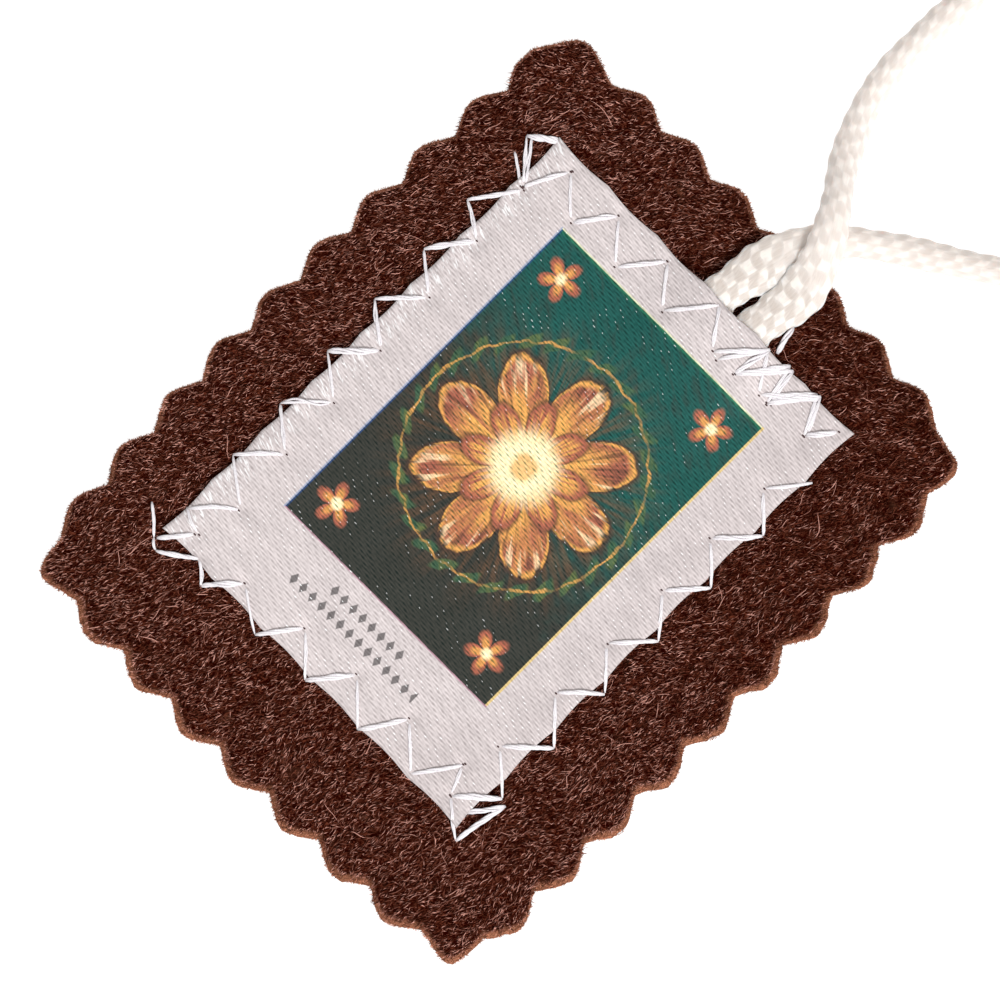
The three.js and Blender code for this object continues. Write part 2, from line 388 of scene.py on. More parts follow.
def colour(name, description, default):
    """A colour property with an alpha of one."""
    return FloatVectorProperty(
        name=name, description=description, default=(*default, 1.0), size=4, min=0.0, max=1.0,
        subtype="COLOR")


class ScapularColours(PropertyGroup):
    """Colours of the felt, satin, thread, cord and print."""
    felt_deep: colour("Felt, deep", "Between the felt's fibres", (0.016, 0.0006, 0.0001))
    felt_mid: colour("Felt, middle", "The felt's matted surface", (0.150, 0.038, 0.0195))
    # partly the lightest fibres' own colour and partly painted highlight, for fibres catching the light
    felt_light: colour("Felt, light", "The felt's loose fibres", (0.79, 0.40, 0.32))
    # partly the cut edge's own colour and partly painted sheen, for its fibres catching the light
    felt_rim: colour("Felt, cut edge", "The felt's cut edge", (0.39, 0.16, 0.09))
    satin: colour("Satin", "The patch's woven satin", (0.60, 0.54, 0.535))
    thread: colour("Thread", "The zigzag sewing thread", (0.84, 0.81, 0.82))
    cord: colour("Cord", "The braided cord", (0.725, 0.672, 0.632))
    print_ground: colour("Print, teal", "The print's upper ground", (0.010, 0.082, 0.070))
    print_deep: colour("Print, deep green", "The print's lower ground", (0.030, 0.036, 0.030))
    print_gold: colour("Print, gold", "Gold shapes of the print", (0.62, 0.34, 0.09))
    print_rose: colour("Print, rose", "Rose shapes of the print", (0.30, 0.105, 0.065))
    print_pale: colour("Print, pale", "The print's pale centres", (0.88, 0.78, 0.46))
    mark: colour("Small ornament", "The lozenges below the print", (0.10, 0.09, 0.09))
    hole: colour("Needle hole", "The dark of the needle holes", (0.07, 0.035, 0.035))


class ScapularStage(PropertyGroup):
    """The floor and the lights."""
    floor: colour("Floor", "The plain white floor", (0.3, 0.3, 0.3))
    floor_glow: FloatProperty(
        name="Floor glow", description="Light that comes up through the floor",
        default=0.92, min=0.0)
    key_power: FloatProperty(
        name="Key light", description="Power of the main soft light",
        default=35.0, min=0.0, unit="POWER")
    sky_strength: FloatProperty(
        name="Sky", description="Strength of the even light from all round",
        default=0.60, min=0.0)


# Meshes from whole arrays

def smooth_step(value):
    """Zero below 0, one above 1, and three times the square less twice the cube between."""
    value = np.clip(value, 0.0, 1.0)
    return value * value * (3.0 - 2.0 * value)


def soft_noise(x, y, wavelength, seed, waves=28):
    """The mean of plane waves in random directions, with lengths near the one given, within about 1."""
    rng = np.random.default_rng(seed)
    angle = rng.uniform(0.0, 2.0 * np.pi, waves)
    phase = rng.uniform(0.0, 2.0 * np.pi, waves)
    number = 2.0 * np.pi / (wavelength * rng.uniform(0.6, 1.8, waves))
    shape = np.shape(x)
    flat_x = np.ravel(x)[:, None]
    flat_y = np.ravel(y)[:, None]
    waved = np.cos(number * (flat_x * np.cos(angle) + flat_y * np.sin(angle)) + phase)
    return (waved.sum(axis=1) / math.sqrt(waves / 2.0)).reshape(shape) * 0.6


def grid_quads(rows, columns, wrap):
    """Corner numbers of a grid's squares, with the last column joined to the first if it wraps."""
    across = np.arange(columns if wrap else columns - 1)
    up = np.arange(rows - 1)[:, None]
    here = up * columns + across
    after = up * columns + (across + 1) % columns
    return np.stack([here, after, after + columns, here + columns], axis=-1).reshape(-1, 4)


def end_fans(columns, rings, low, high):
    """Triangles that close a tube of rings: from the first ring to the point numbered low, and from
    the last to the one numbered high."""
    ring = np.arange(columns)
    after = (ring + 1) % columns
    last = (rings - 1) * columns
    return [
        np.stack([np.full(columns, low), after, ring], axis=1),
        np.stack([np.full(columns, high), last + ring, last + after], axis=1)]


def add_piece(name, points, faces, material, uv=None, shade=None):
    """A mesh object in the scene, from points in millimetres and lists of faces."""
    mesh = bpy.data.meshes.new(name)
    polygons = [face for group in faces for face in np.asarray(group).tolist()]
    mesh.from_pydata((np.asarray(points, float).reshape(-1, 3) * MM).tolist(), [], polygons)
    mesh.polygons.foreach_set("use_smooth", np.ones(len(mesh.polygons), bool))
    if uv is not None:
        layer = mesh.uv_layers.new(name="along")
        layer.data.foreach_set("uv", np.asarray(uv, np.float32).ravel())
    if shade is not None:
        layer = mesh.attributes.new("shade", "FLOAT", "POINT")
        layer.data.foreach_set("value", np.asarray(shade, np.float32).ravel())
    mesh.materials.append(material)
    mesh.update()
    piece = bpy.data.objects.new(name, mesh)
    bpy.context.scene.collection.objects.link(piece)
    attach(piece, "root")
    return piece


def place_on_panel(points, panel):
    """Points of a panel's own frame, turned about for the back panel and moved to its centre."""
    placed = np.array(points, float)
    placed[..., 0] *= panel["turn"]
    placed[..., 1] = placed[..., 1] * panel["turn"] + panel["centre_y"]
    return placed


# The felt

def scallop_height(along, run):
    """A blunt crest, one less a power of the distance from it, blended with a cosine wave."""
    shifted = along ** (math.log(0.5) / math.log(run["crest"]))
    blunt = 1.0 - np.abs(2.0 * shifted - 1.0) ** CREST_POWER
    wave = (1.0 - np.cos(2.0 * np.pi * shifted)) / 2.0
    return run["depth"] * (blunt * (1.0 - WAVE_SHARE) + wave * WAVE_SHARE)


def felt_outline():
    """The outline: straight runs that bulge as a parabola, with the scallops standing on them."""
    start = np.array(EDGE_START)
    parts = []
    for run in EDGE_RUNS:
        end = np.array((run["x"], run["y"]))
        steps = run["count"] * STEPS_PER_SCALLOP
        step = np.arange(1, steps + 1)
        t = step / steps
        along = (step % STEPS_PER_SCALLOP) / STEPS_PER_SCALLOP
        out = 4.0 * run["bulge"] * t * (1.0 - t) + scallop_height(along, run)
        line = end - start
        outward = np.array((line[1], -line[0])) / np.hypot(*line)
        parts.append(start + line * t[:, None] + outward * out[:, None])
        start = end
    return np.concatenate(parts)


def outward_turn(outline):
    """The angle of the outward normal at each point: square to the line between its neighbours."""
    ahead = np.roll(outline, -1, axis=0) - np.roll(outline, 1, axis=0)
    return np.arctan2(-ahead[:, 0], ahead[:, 1])


def rim_share(outward):
    """How wide the cut edge's slope is: whole where it faces the photograph's lower side, less above."""
    upwards = np.cos(outward - PHOTO_TURN - 0.5 * np.pi)
    return RIM_ABOVE + (1.0 - RIM_ABOVE) * smooth_step(RIM_SIDEWAYS - RIM_CHANGE * upwards)


OUTLINE = felt_outline()
OUTLINE_REACH = np.hypot(*OUTLINE.T)
OUTLINE_OUTWARD = outward_turn(OUTLINE)
OUTLINE_RIM = rim_share(OUTLINE_OUTWARD)


def edge_distance(x, y):
    """How far in from the outline a point lies, towards the middle, and the slope's share there."""
    turn = np.arctan2(OUTLINE[:, 1], OUTLINE[:, 0])
    order = np.argsort(turn)
    here = np.arctan2(y, x)
    reach = np.interp(here, turn[order], OUTLINE_REACH[order], period=2.0 * np.pi)
    share = np.interp(here, turn[order], OUTLINE_RIM[order], period=2.0 * np.pi)
    return reach - np.hypot(x, y), share


def rim_height(inset):
    """The height of the felt's upper side at an inset from its outline, from the rim's rows."""
    rows = FELT_RIM[2:]
    return np.interp(inset, [row["inset"] for row in rows], [row["height"] for row in rows])


def felt_relief(x, y):
    """The matted surface: short and long soft waves, in millimetres."""
    return sum(wave["height"] * soft_noise(x, y, wave["length"], SEED + number)
               for number, wave in enumerate(FELT_WAVES))


def tufts(x, y):
    """Clumps of the nap: a soft noise that is drawn out along the nap's lie."""
    lie = PHOTO_TURN + NAP_LIE
    along = x * np.cos(lie) + y * np.sin(lie)
    across = y * np.cos(lie) - x * np.sin(lie)
    return soft_noise(along / TUFT_STRETCH, across, TUFT_WIDTH, SEED + 8, 40)


def felt_cloth(panel, material):
    """Rings of the outline drawn towards the middle: the underside, the cut rim, then the top."""
    columns = len(OUTLINE)
    rings = [OUTLINE * share for share in UNDER_RINGS]
    heights = [np.zeros(columns) for share in UNDER_RINGS]
    ragged = EDGE_STRAY * soft_noise(OUTLINE[:, 0], OUTLINE[:, 1], 1.0, SEED + 2)
    for row in FELT_RIM:
        inset = (row["inset"] + ragged * smooth_step(row["height"] / 0.4)) * OUTLINE_RIM
        rings.append(OUTLINE * (1.0 - inset / OUTLINE_REACH)[:, None])
        heights.append(np.full(columns, row["height"]))
    for share in TOP_RINGS:
        rings.append(OUTLINE * share)
        heights.append(FELT_TOP + felt_relief(*(OUTLINE * share).T))
    points = np.dstack([np.array(rings), np.array(heights)[..., None]]).reshape(-1, 3)
    faces = [grid_quads(len(rings), columns, True)]
    faces += end_fans(columns, len(rings), len(points), len(points) + 1)
    points = np.concatenate([points, [(0.0, 0.0, 0.0), (0.0, 0.0, FELT_TOP)]])
    name = panel["name"] + "_felt"
    piece = add_piece(name + "_cloth", place_on_panel(points, panel), faces, material)
    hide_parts(name)
    return piece


def fibre_mesh(root, heading, length, width, lift, bend, crimp, shade, rings):
    """Closed three-sided spikes. Each one's middle line leaves the root along its heading, swings to
    the side by a bend and a sine of the crimp, and rises as a half sine of the lift."""
    count = len(root)
    t = np.linspace(0.0, 1.0, rings + 2)
    ahead = np.stack([np.cos(heading), np.sin(heading)], axis=1)[:, None, :]
    aside = np.stack([-np.sin(heading), np.cos(heading)], axis=1)[:, None, :]
    along = (length[:, None] * t)[..., None]
    swing = length[:, None] * (bend[:, None] * 4.0 * t * (1.0 - t) + crimp[:, None] * np.sin(2.0 * np.pi * t))
    middle = np.empty((count, rings + 2, 3))
    middle[..., :2] = root[:, None, :2] + ahead * along + aside * swing[..., None]
    middle[..., 2] = root[:, 2:3] + lift[:, None] * np.sin(np.pi * (0.08 + 0.84 * t))
    angle = np.arange(3) * 2.0 * np.pi / 3.0
    inner = middle[:, 1:-1, None, :].repeat(3, axis=2)
    reach = 0.5 * width[:, None, None] * np.ones((1, rings, 3))
    inner[..., :2] += aside[:, :, None, :] * (reach * np.cos(angle))[..., None]
    inner[..., 2] += reach * np.sin(angle)
    points = np.concatenate([middle[:, :1], inner.reshape(count, 3 * rings, 3), middle[:, -1:]], axis=1)
    size = 3 * rings + 2
    step = (np.arange(count) * size)[:, None, None]
    near = np.array([(0, 2, 1), (0, 3, 2), (0, 1, 3)])
    far = size - 1 - np.array([(0, 3, 2), (0, 2, 1), (0, 1, 3)])
    faces = [(near + step).reshape(-1, 3), (far + step).reshape(-1, 3)]
    if rings > 1:
        wall = 1 + grid_quads(rings, 3, True)
        faces.append((wall + step).reshape(-1, 4))
    return points.reshape(-1, 3), faces, np.repeat(shade, size)


def nap_heading(x, y, rng, spread):
    """The nap lies a little above the photograph's level, and leans more towards its lower edge."""
    photo_up = (y - x) / math.sqrt(2.0)
    lie = NAP_LIE - NAP_LEAN * photo_up + 0.25 * soft_noise(x, y, 7.0, SEED + 3)
    flip = np.where(rng.random(len(x)) < 0.5, np.pi, 0.0)
    return PHOTO_TURN + lie + flip + rng.normal(0.0, spread, len(x))


def top_roots(count, rng, layer):
    """Seeded random roots on the felt that shows: inside the outline and outside the patch's middle.
    Each has its heading, its distance from the outline, and how light it is: lighter on the clumps and
    darker in the hollows between them, partly as painted shade, and lighter near the edge, more where
    the edge faces the lamp, partly as painted light."""
    made = rng.uniform(-np.array(NAP_REACH), NAP_REACH, (count * 5, 2))
    inside = edge_distance(*made.T)[0] > layer["margin"]
    bare = np.abs(made[:, 0] - BARE["x"]) < BARE["half_width"]
    bare &= np.abs(made[:, 1] - BARE["y"]) < BARE["half_height"]
    x, y = made[inside & ~bare][:count].T
    distance, share = edge_distance(x, y)
    inset = distance / share
    clump = tufts(x, y)
    flat = smooth_step(inset / FELT_RIM[-1]["inset"])
    height = rim_height(inset) - 0.01 + (felt_relief(x, y) + TUFT_HEIGHT * clump) * flat
    # partly painted light: fibres near the cut edge are lighter, more where the edge faces the lamp
    by_edge = 0.9 * share * smooth_step(1.0 - distance / 1.1)
    # partly painted shade: fibres in the hollows between the clumps are darker
    light = 0.45 + 0.85 * smooth_step(0.5 + 0.6 * clump) + by_edge
    return np.column_stack([x, y, height]), nap_heading(x, y, rng, layer["spread"]), distance, light


def edge_roots(count, rng, layer):
    """Seeded random roots on the cut edge, heading outwards with a scatter, all with the same room and
    the same light."""
    pick = rng.integers(0, len(OUTLINE), count)
    slide = rng.uniform(0.0, 1.0, count)[:, None]
    edge = OUTLINE[pick] * slide + np.roll(OUTLINE, -1, axis=0)[pick] * (1.0 - slide)
    inset = rng.uniform(0.0, EDGE_DEPTH, count)
    place = edge * (1.0 - inset * OUTLINE_RIM[pick] / OUTLINE_REACH[pick])[:, None]
    height = np.where(inset < 0.1, rng.uniform(0.3, 0.9, count), rim_height(inset) + 0.03)
    outward = OUTLINE_OUTWARD[pick] + rng.normal(0.0, layer["spread"], count)
    return np.column_stack([place, height]), outward, np.full(count, EDGE_ROOM), np.ones(count)


def nap(panel, layer, rng, sizes, material):
    """One layer of a panel's loose fibres. They are shorter where there is less room to the outline,
    darker in soft clouds, darker towards the camera's right as painted shade, and each has its own shade."""
    count = int(layer["count"] * panel["nap_share"])
    strew = edge_roots if layer["on_edge"] else top_roots
    root, turn, room, light = strew(count, rng, layer)
    total = len(root)
    length = sizes.nap_length / MM * layer["length"] * rng.lognormal(0.0, FIBRE["length"], total)
    length = np.minimum(length, 0.13 + 0.9 * room)
    width = sizes.nap_width / MM * layer["width"] * rng.uniform(*FIBRE["width"], total)
    lift = rng.uniform(*layer["lift"], total)
    bend = rng.normal(0.0, FIBRE["bend"], total)
    crimp = rng.normal(0.0, FIBRE["crimp"], total)
    cloud_and_shade = 1.0 + CLOUDS["share"] * soft_noise(root[:, 0], root[:, 1], CLOUDS["length"], SEED + 7)
    # painted shade: the nap grows darker towards the camera's right
    photo_right = (root[:, 0] + root[:, 1]) / math.sqrt(2.0)
    to_right = (photo_right - RIGHT_PAINTED_SHADE["from"]) / RIGHT_PAINTED_SHADE["over"]
    cloud_and_shade = cloud_and_shade - RIGHT_PAINTED_SHADE["share"] * smooth_step(to_right)
    shade = rng.beta(*layer["shade"], total) * light * cloud_and_shade
    if layer["on_edge"]:
        width = width * EDGE_THIN
        shade = shade + EDGE_SHADE
        root[:, 0] -= EDGE_BACK * length * np.cos(turn)
        root[:, 1] -= EDGE_BACK * length * np.sin(turn)
    # painted highlight: a share of the fibres is made fully light, as fibres catching the light
    shade = np.where(rng.random(total) < layer["painted_highlight"], 1.0, np.clip(shade, 0.0, 1.0))
    points, faces, shades = fibre_mesh(root, turn, length, width, lift, bend, crimp, shade, layer["rings"])
    points[:, 2] = np.maximum(points[:, 2], 0.05)
    return add_piece(panel["name"] + "_nap_" + layer["name"], place_on_panel(points, panel), faces,
                     material, shade=shades)


# The satin patches

def edge_pull(along, pulls):
    """How far an edge is drawn in: the size of a sine, once for each stitch."""
    return EDGE_PULL * np.abs(np.sin(np.pi * pulls * along))


def patch_place(across, up):
    """The patch in plan: a blend of its four corners, drawn in along its edges by the stitches."""
    to_right = (across + 1.0) / 2.0
    to_top = (up + 1.0) / 2.0
    lower = np.array(PATCH_LOWER)
    upper = np.array(PATCH_UPPER)
    low = lower[0] * (1.0 - to_right)[..., None] + lower[1] * to_right[..., None]
    high = upper[0] * (1.0 - to_right)[..., None] + upper[1] * to_right[..., None]
    place = low * (1.0 - to_top)[..., None] + high * to_top[..., None]
    place[..., 0] -= across ** 5 * edge_pull(to_top, PULLS_UP)
    place[..., 1] -= up ** 5 * edge_pull(to_right, PULLS_ACROSS)
    return place


def tuck_rise(panel, x, y):
    """The mound over the tucked cord ends: flat-topped across, fading away from the upper edge."""
    across = (x - panel["tuck_x"]) / TUCK["half_width"]
    down = (PATCH_UPPER[0][1] - y) / TUCK["length"]
    return TUCK["rise"] * np.exp(-across ** 4 - down ** 2)


def stitch_holes(row):
    """Inner and outer needle holes of one side, in the order of sewing, with the hand's small errors."""
    share = np.linspace(0.0, 1.0, row["holes"])[:, None]
    rng = np.random.default_rng(SEED + len(row["side"]))
    rows = []
    for key in ("inner", "outer"):
        ends = np.array(row[key]).reshape(2, 2)
        line = ends[0] * (1.0 - share) + ends[1] * share
        rows.append(line + rng.normal(0.0, 0.09, line.shape))
    first, second = (rows[1], rows[0]) if row["outer_first"] else (rows[0], rows[1])
    return np.stack([first, second], axis=1).reshape(-1, 2)


STITCH_LINES = [stitch_holes(row) for row in STITCH_ROWS] + [np.array(line) for line in CORNER_STITCHES]
STITCH_POINTS = np.concatenate(STITCH_LINES)


def patch_share(x, y):
    """Places in the patch's own square, from -1 to 1 each way, for points of the panel."""
    up = (y - PATCH_MIDDLE_Y) / PATCH_HALF_HEIGHT
    to_top = np.clip((up + 1.0) / 2.0, 0.0, 1.0)
    left = PATCH_LOWER[0][0] * (1.0 - to_top) + PATCH_UPPER[0][0] * to_top
    right = PATCH_LOWER[1][0] * (1.0 - to_top) + PATCH_UPPER[1][0] * to_top
    return 2.0 * (x - left) / (right - left) - 1.0, up


def on_satin(x, y, limit):
    """Whether points of the panel lie in the patch's own square, up to a limit each way."""
    across, up = patch_share(x, y)
    return (np.abs(across) < limit) & (np.abs(up) < limit)


def satin_height(panel, x, y, across, up):
    """The satin's upper side: pressed at its edges, crowned between, raised over the cords' ends,
    and dimpled by a bell at each needle hole."""
    crown = (1.0 - np.abs(across) ** 8) * (1.0 - np.abs(up) ** 8)
    height = FELT_TOP + SATIN_EDGE + SATIN_CROWN * np.clip(crown, 0.0, 1.0) + tuck_rise(panel, x, y)
    height = height + SATIN_WAVES["height"] * soft_noise(x, y, SATIN_WAVES["length"], SEED + 4)
    near_x = x[..., None] - STITCH_POINTS[:, 0]
    near_y = y[..., None] - STITCH_POINTS[:, 1]
    dimple = np.exp(-(near_x ** 2 + near_y ** 2) / (2.0 * DIMPLE["reach"] ** 2)).max(axis=-1)
    return height - DIMPLE["depth"] * dimple


def satin_patch(panel, thick, material):
    """Two grids, the satin's upper side and the same moved down, closed by a wall round the edge."""
    columns, rows = panel["satin_grid"]
    across, up = np.meshgrid(np.linspace(-1.0, 1.0, columns), np.linspace(-1.0, 1.0, rows))
    place = patch_place(across, up)
    x, y = place[..., 0], place[..., 1]
    top = satin_height(panel, x, y, across, up)
    upper = np.dstack([x, y, top]).reshape(-1, 3)
    lower = np.dstack([x, y, top - thick]).reshape(-1, 3)
    quads = grid_quads(rows, columns, False)
    count = rows * columns
    number = np.arange(count).reshape(rows, columns)
    rim = np.concatenate([number[0, :-1], number[:-1, -1], number[-1, :0:-1], number[:0:-1, 0]])
    after = np.roll(rim, -1)
    wall = np.stack([rim, rim + count, after + count, after], axis=1)
    points = place_on_panel(np.concatenate([upper, lower]), panel)
    piece = add_piece(panel["name"] + "_satin", points, [quads, quads[:, ::-1] + count, wall],
                      material)
    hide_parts(panel["name"] + "_patch")
    return piece


# The stitching

def cloth_height(panel, x, y):
    """The top of the satin where the patch lies, and of the nap round it."""
    across, up = patch_share(x, y)
    inside = (np.abs(across) < 0.995) & (np.abs(up) < 0.995)
    return np.where(inside, satin_height(panel, x, y, across, up), FELT_TOP + NAP_UNDER_THREAD)


def short_of_hole(place, other):
    """Places moved a little towards the leg's other end where they lie on the satin."""
    line = other - place
    step = np.where(on_satin(*place.T, 0.97), SHORT_OF_HOLE, 0.0) / np.hypot(*line.T)
    return place + line * step[:, None]


def thread_legs(panel, lines, width, tightness):
    """Tubes from hole to hole, a few plies for each leg. The plies wind slowly round the leg's middle
    line, whose distance from them swells as a sine's root, and the legs' ends dip into the cloth. Legs
    that run up the photograph are drawn tighter and thinner."""
    start = np.concatenate([line[:-1] for line in lines])
    end = np.concatenate([line[1:] for line in lines])
    start, end = short_of_hole(start, end), short_of_hole(end, start)
    line = end - start
    length = np.hypot(*line.T)
    rng = np.random.default_rng(SEED + 5)
    up_photo = np.abs(np.sin(np.arctan2(line[:, 1], line[:, 0]) - PHOTO_TURN))
    tight = 1.0 - tightness * smooth_step((up_photo - 0.6) / 0.35)
    size = width * tight * rng.uniform(0.88, 1.1, len(start))
    bow = rng.normal(0.0, LEG_BOW, len(start))
    steps, sides = PLY_STEPS, PLY_SIDES
    t = np.linspace(0.0, 1.0, steps)
    side = np.stack([-line[:, 1], line[:, 0]], axis=1) / length[:, None]
    middle = start[:, None, :] + line[:, None, :] * t[:, None]
    middle = middle + side[:, None, :] * (bow[:, None] * np.sin(np.pi * t))[..., None]
    ground = cloth_height(panel, middle[..., 0], middle[..., 1])
    padded = np.pad(ground, ((0, 0), (2, 2)), mode="edge")
    ground = np.maximum(ground, sum(padded[:, k:k + steps] for k in range(5)) / 5.0)
    to_end = np.minimum(t, 1.0 - t) * length[:, None]
    dip = DIP["depth"] * np.exp(-(to_end / DIP["reach"]) ** 2)
    lift = size[:, None] * (LEG_LIFT - 0.5 * (1.0 - tight[:, None]))
    centre_z = ground + lift + LEG_ARCH * np.sin(np.pi * t) - dip
    ply = np.arange(PLIES)
    phase = 2.0 * np.pi * ply / PLIES + rng.uniform(0.0, 2.0 * np.pi, len(start))[:, None]
    wind = phase[..., None] + 2.0 * np.pi * (t * length[:, None])[:, None, :] / PLY_TWIST
    stray = rng.lognormal(0.0, 0.3, (len(start), PLIES))[..., None]
    spread = PLY_SPREAD * size[:, None, None] * stray * (0.25 + 0.75 * np.sqrt(np.sin(np.pi * t)))
    radius = 0.5 * PLY_SHARE * size[:, None, None] * (0.7 + 0.3 * smooth_step(to_end / 0.6))[:, None, :]
    across = spread * np.cos(wind)
    above = PLY_FLATNESS * spread * np.sin(wind)
    angle = np.arange(sides) * 2.0 * np.pi / sides
    ring = np.empty((len(start), PLIES, steps, sides, 3))
    out_side = across[..., None] + radius[..., None] * np.cos(angle)
    ring[..., :2] = middle[:, None, :, None, :] + side[:, None, None, None, :] * out_side[..., None]
    ring[..., 2] = (centre_z[:, None, :] + above)[..., None] + radius[..., None] * np.sin(angle) * 0.8
    quads = grid_quads(steps, sides, True)
    caps = np.array([range(sides - 1, -1, -1), range((steps - 1) * sides, steps * sides)])
    step = (np.arange(len(start) * PLIES) * steps * sides)[:, None, None]
    tube = (quads[None] + step).reshape(-1, 4)
    lids = (caps[None] + step).reshape(-1, sides)
    return ring.reshape(-1, 3), [tube, lids]


def stitching(panel, width, material):
    """All the thread legs of one panel in one mesh."""
    points, faces = thread_legs(panel, STITCH_LINES, width, UPRIGHT_TIGHTNESS)
    if panel["name"] == "front":
        more_points, more_faces = thread_legs(panel, [np.array(LOOSE_STRAND)], LOOSE_STRAND_WIDTH, 0.0)
        faces = faces + [group + len(points) for group in more_faces]
        points = np.concatenate([points, more_points])
    return add_piece(panel["name"] + "_stitches", place_on_panel(points, panel), faces, material)


def needle_holes(panel, material):
    """A flat dark bead at each needle hole: an ellipsoid with its long axis along the weave."""
    angle = np.arange(HOLE_SIDES) * 2.0 * np.pi / HOLE_SIDES
    tilt = np.linspace(-0.5 * np.pi, 0.5 * np.pi, HOLE_RINGS + 2)[1:-1]
    long, short, tall = HOLE_AXES
    shell = np.stack([
        long * np.cos(tilt)[:, None] * np.cos(angle),
        short * np.cos(tilt)[:, None] * np.sin(angle),
        tall * np.sin(tilt)[:, None] * np.ones(HOLE_SIDES)], axis=-1).reshape(-1, 3)
    parts = [grid_quads(HOLE_RINGS, HOLE_SIDES, True)]
    parts += end_fans(HOLE_SIDES, HOLE_RINGS, len(shell), len(shell) + 1)
    shell = np.concatenate([shell, [(0.0, 0.0, -tall), (0.0, 0.0, tall)]])
    spots = STITCH_POINTS[on_satin(*STITCH_POINTS.T, 0.97)]
    rng = np.random.default_rng(SEED + 6)
    spots = spots + rng.normal(0.0, 0.05, spots.shape)
    place = np.column_stack([spots, cloth_height(panel, *spots.T) + 0.01])
    points = (place[:, None, :] + shell[None]).reshape(-1, 3)
    step = (np.arange(len(spots)) * len(shell))[:, None, None]
    faces = [(part[None] + step).reshape(-1, part.shape[1]) for part in parts]
    return add_piece(panel["name"] + "_needle_holes", place_on_panel(points, panel), faces, material)


# The cords

def coil_turns(first, last, side):
    """The pair's middle spirals inwards by two pitches a turn, climbs a pitch on the inside, and
    spirals outwards on top. Each cord runs half a pitch to its own side of that."""
    angle = np.arange(first, last + 1.0, COIL_STEP)
    inmost = COIL_OUTER_TURN - 2.0 * COIL_PITCH * (COIL_CLIMB - COIL_FIRST) / 360.0
    inward = COIL_OUTER_TURN - 2.0 * COIL_PITCH * (angle - COIL_FIRST) / 360.0
    outward = inmost + 2.0 * COIL_PITCH * (angle - COIL_TOP) / 360.0
    reach = np.where(angle < COIL_CLIMB, inward, np.where(angle < COIL_TOP, inmost, outward))
    reach = reach + side * COIL_PITCH / 2.0
    turn = np.radians(angle)
    climb = smooth_step((angle - COIL_CLIMB) / (COIL_TOP - COIL_CLIMB))
    return np.column_stack([
        COIL_CENTRE[0] + reach * np.cos(turn),
        COIL_CENTRE[1] + reach * np.sin(turn),
        COIL_LOW + COIL_PITCH * climb])


def between(t, low, high, first, second):
    """The place that is as far from the first to the second as t is from low to high."""
    return (high - t) / (high - low) * first + (t - low) / (high - low) * second


def smooth_route(points, per_span=12):
    """A centripetal Catmull-Rom curve through the points, with even parameter steps in each span: the
    places between neighbouring points, those between these, and the place between the last two."""
    points = np.asarray(points, float)
    points = np.concatenate([[2.0 * points[0] - points[1]], points, [2.0 * points[-1] - points[-2]]])
    knots = np.concatenate([[0.0], np.cumsum(np.linalg.norm(np.diff(points, axis=0), axis=1) ** 0.5)])
    knot = [knots[k:len(knots) - 3 + k, None, None] for k in range(4)]
    place = [points[k:len(points) - 3 + k, None, :] for k in range(4)]
    share = np.arange(per_span) / per_span
    t = knot[1] + (knot[2] - knot[1]) * share[None, :, None]
    for reach in (1, 2):
        place = [between(t, knot[k], knot[k + reach], place[k], place[k + 1]) for k in range(4 - reach)]
    curve = between(t, knot[1], knot[2], *place).reshape(-1, 3)
    return np.concatenate([curve, points[-2:-1]])


def braid_relief(around, along):
    """Facets in columns round the cord: the lesser of a cosine's size round the cord and a slanted
    cosine along it, whose sign changes with each column so that the columns interlock."""
    turns = np.pi * BRAID_COLUMNS * around
    columns = np.cos(turns)
    rows = np.sign(columns) * np.cos(2.0 * np.pi * along / BRAID_LENGTH + BRAID_SLANT * turns)
    return np.minimum(1.3 * np.abs(columns), rows + BRAID_OVERLAP)


def cord_section(along, total, sizes):
    """A cord's width and height along it: flattened towards each end over a smooth step, pinched there
    by a bell, and uneven in width by slow sines."""
    free = sizes.cord_width / MM
    flat_wide = sizes.cord_flat_width / MM
    wide = np.full(len(along), free)
    tall = np.full(len(along), CORD_TALL)
    for flat in CORD_FLATS:
        from_end = np.abs(along - flat["at"] * total)
        press = 1.0 - smooth_step((from_end - flat["until"]) / (flat["free"] - flat["until"]))
        pinch = CORD_PINCH * np.exp(-((from_end - PINCH_AT) / PINCH_REACH) ** 2)
        wide = wide + (flat_wide - free) * press - pinch
        tall = tall + (CORD_FLAT_TALL - CORD_TALL) * press
    swell = sum(share * np.sin(along / length + start) for share, length, start in CORD_SWELLS)
    return wide * (1.0 + swell), tall


def cord_faces(along):
    """The faces of a cord's inner rings and its two end points, which are numbered last, and each
    face's map: turns round the cord and millimetres along it."""
    sides, rings = CORD_SIDES, len(along) - 2
    ring = np.arange(sides)
    quads = grid_quads(rings, sides, True)
    column = np.tile(ring, rings - 1)
    row = 1 + np.repeat(np.arange(rings - 1), sides)
    faces = [quads, *end_fans(sides, rings, rings * sides, rings * sides + 1)]
    turns = (
        np.stack([column, column + 1, column + 1, column], axis=1),
        np.stack([ring + 0.5, ring + 1, ring], axis=1),
        np.stack([ring + 0.5, ring, ring + 1], axis=1))
    lengths = (
        along[np.stack([row, row, row + 1, row + 1], axis=1)],
        np.full((sides, 3), along[0]),
        np.full((sides, 3), along[-1]))
    maps = [np.stack([turn / sides, length], axis=-1).reshape(-1, 2) for turn, length in zip(turns, lengths)]
    return faces, np.concatenate(maps)


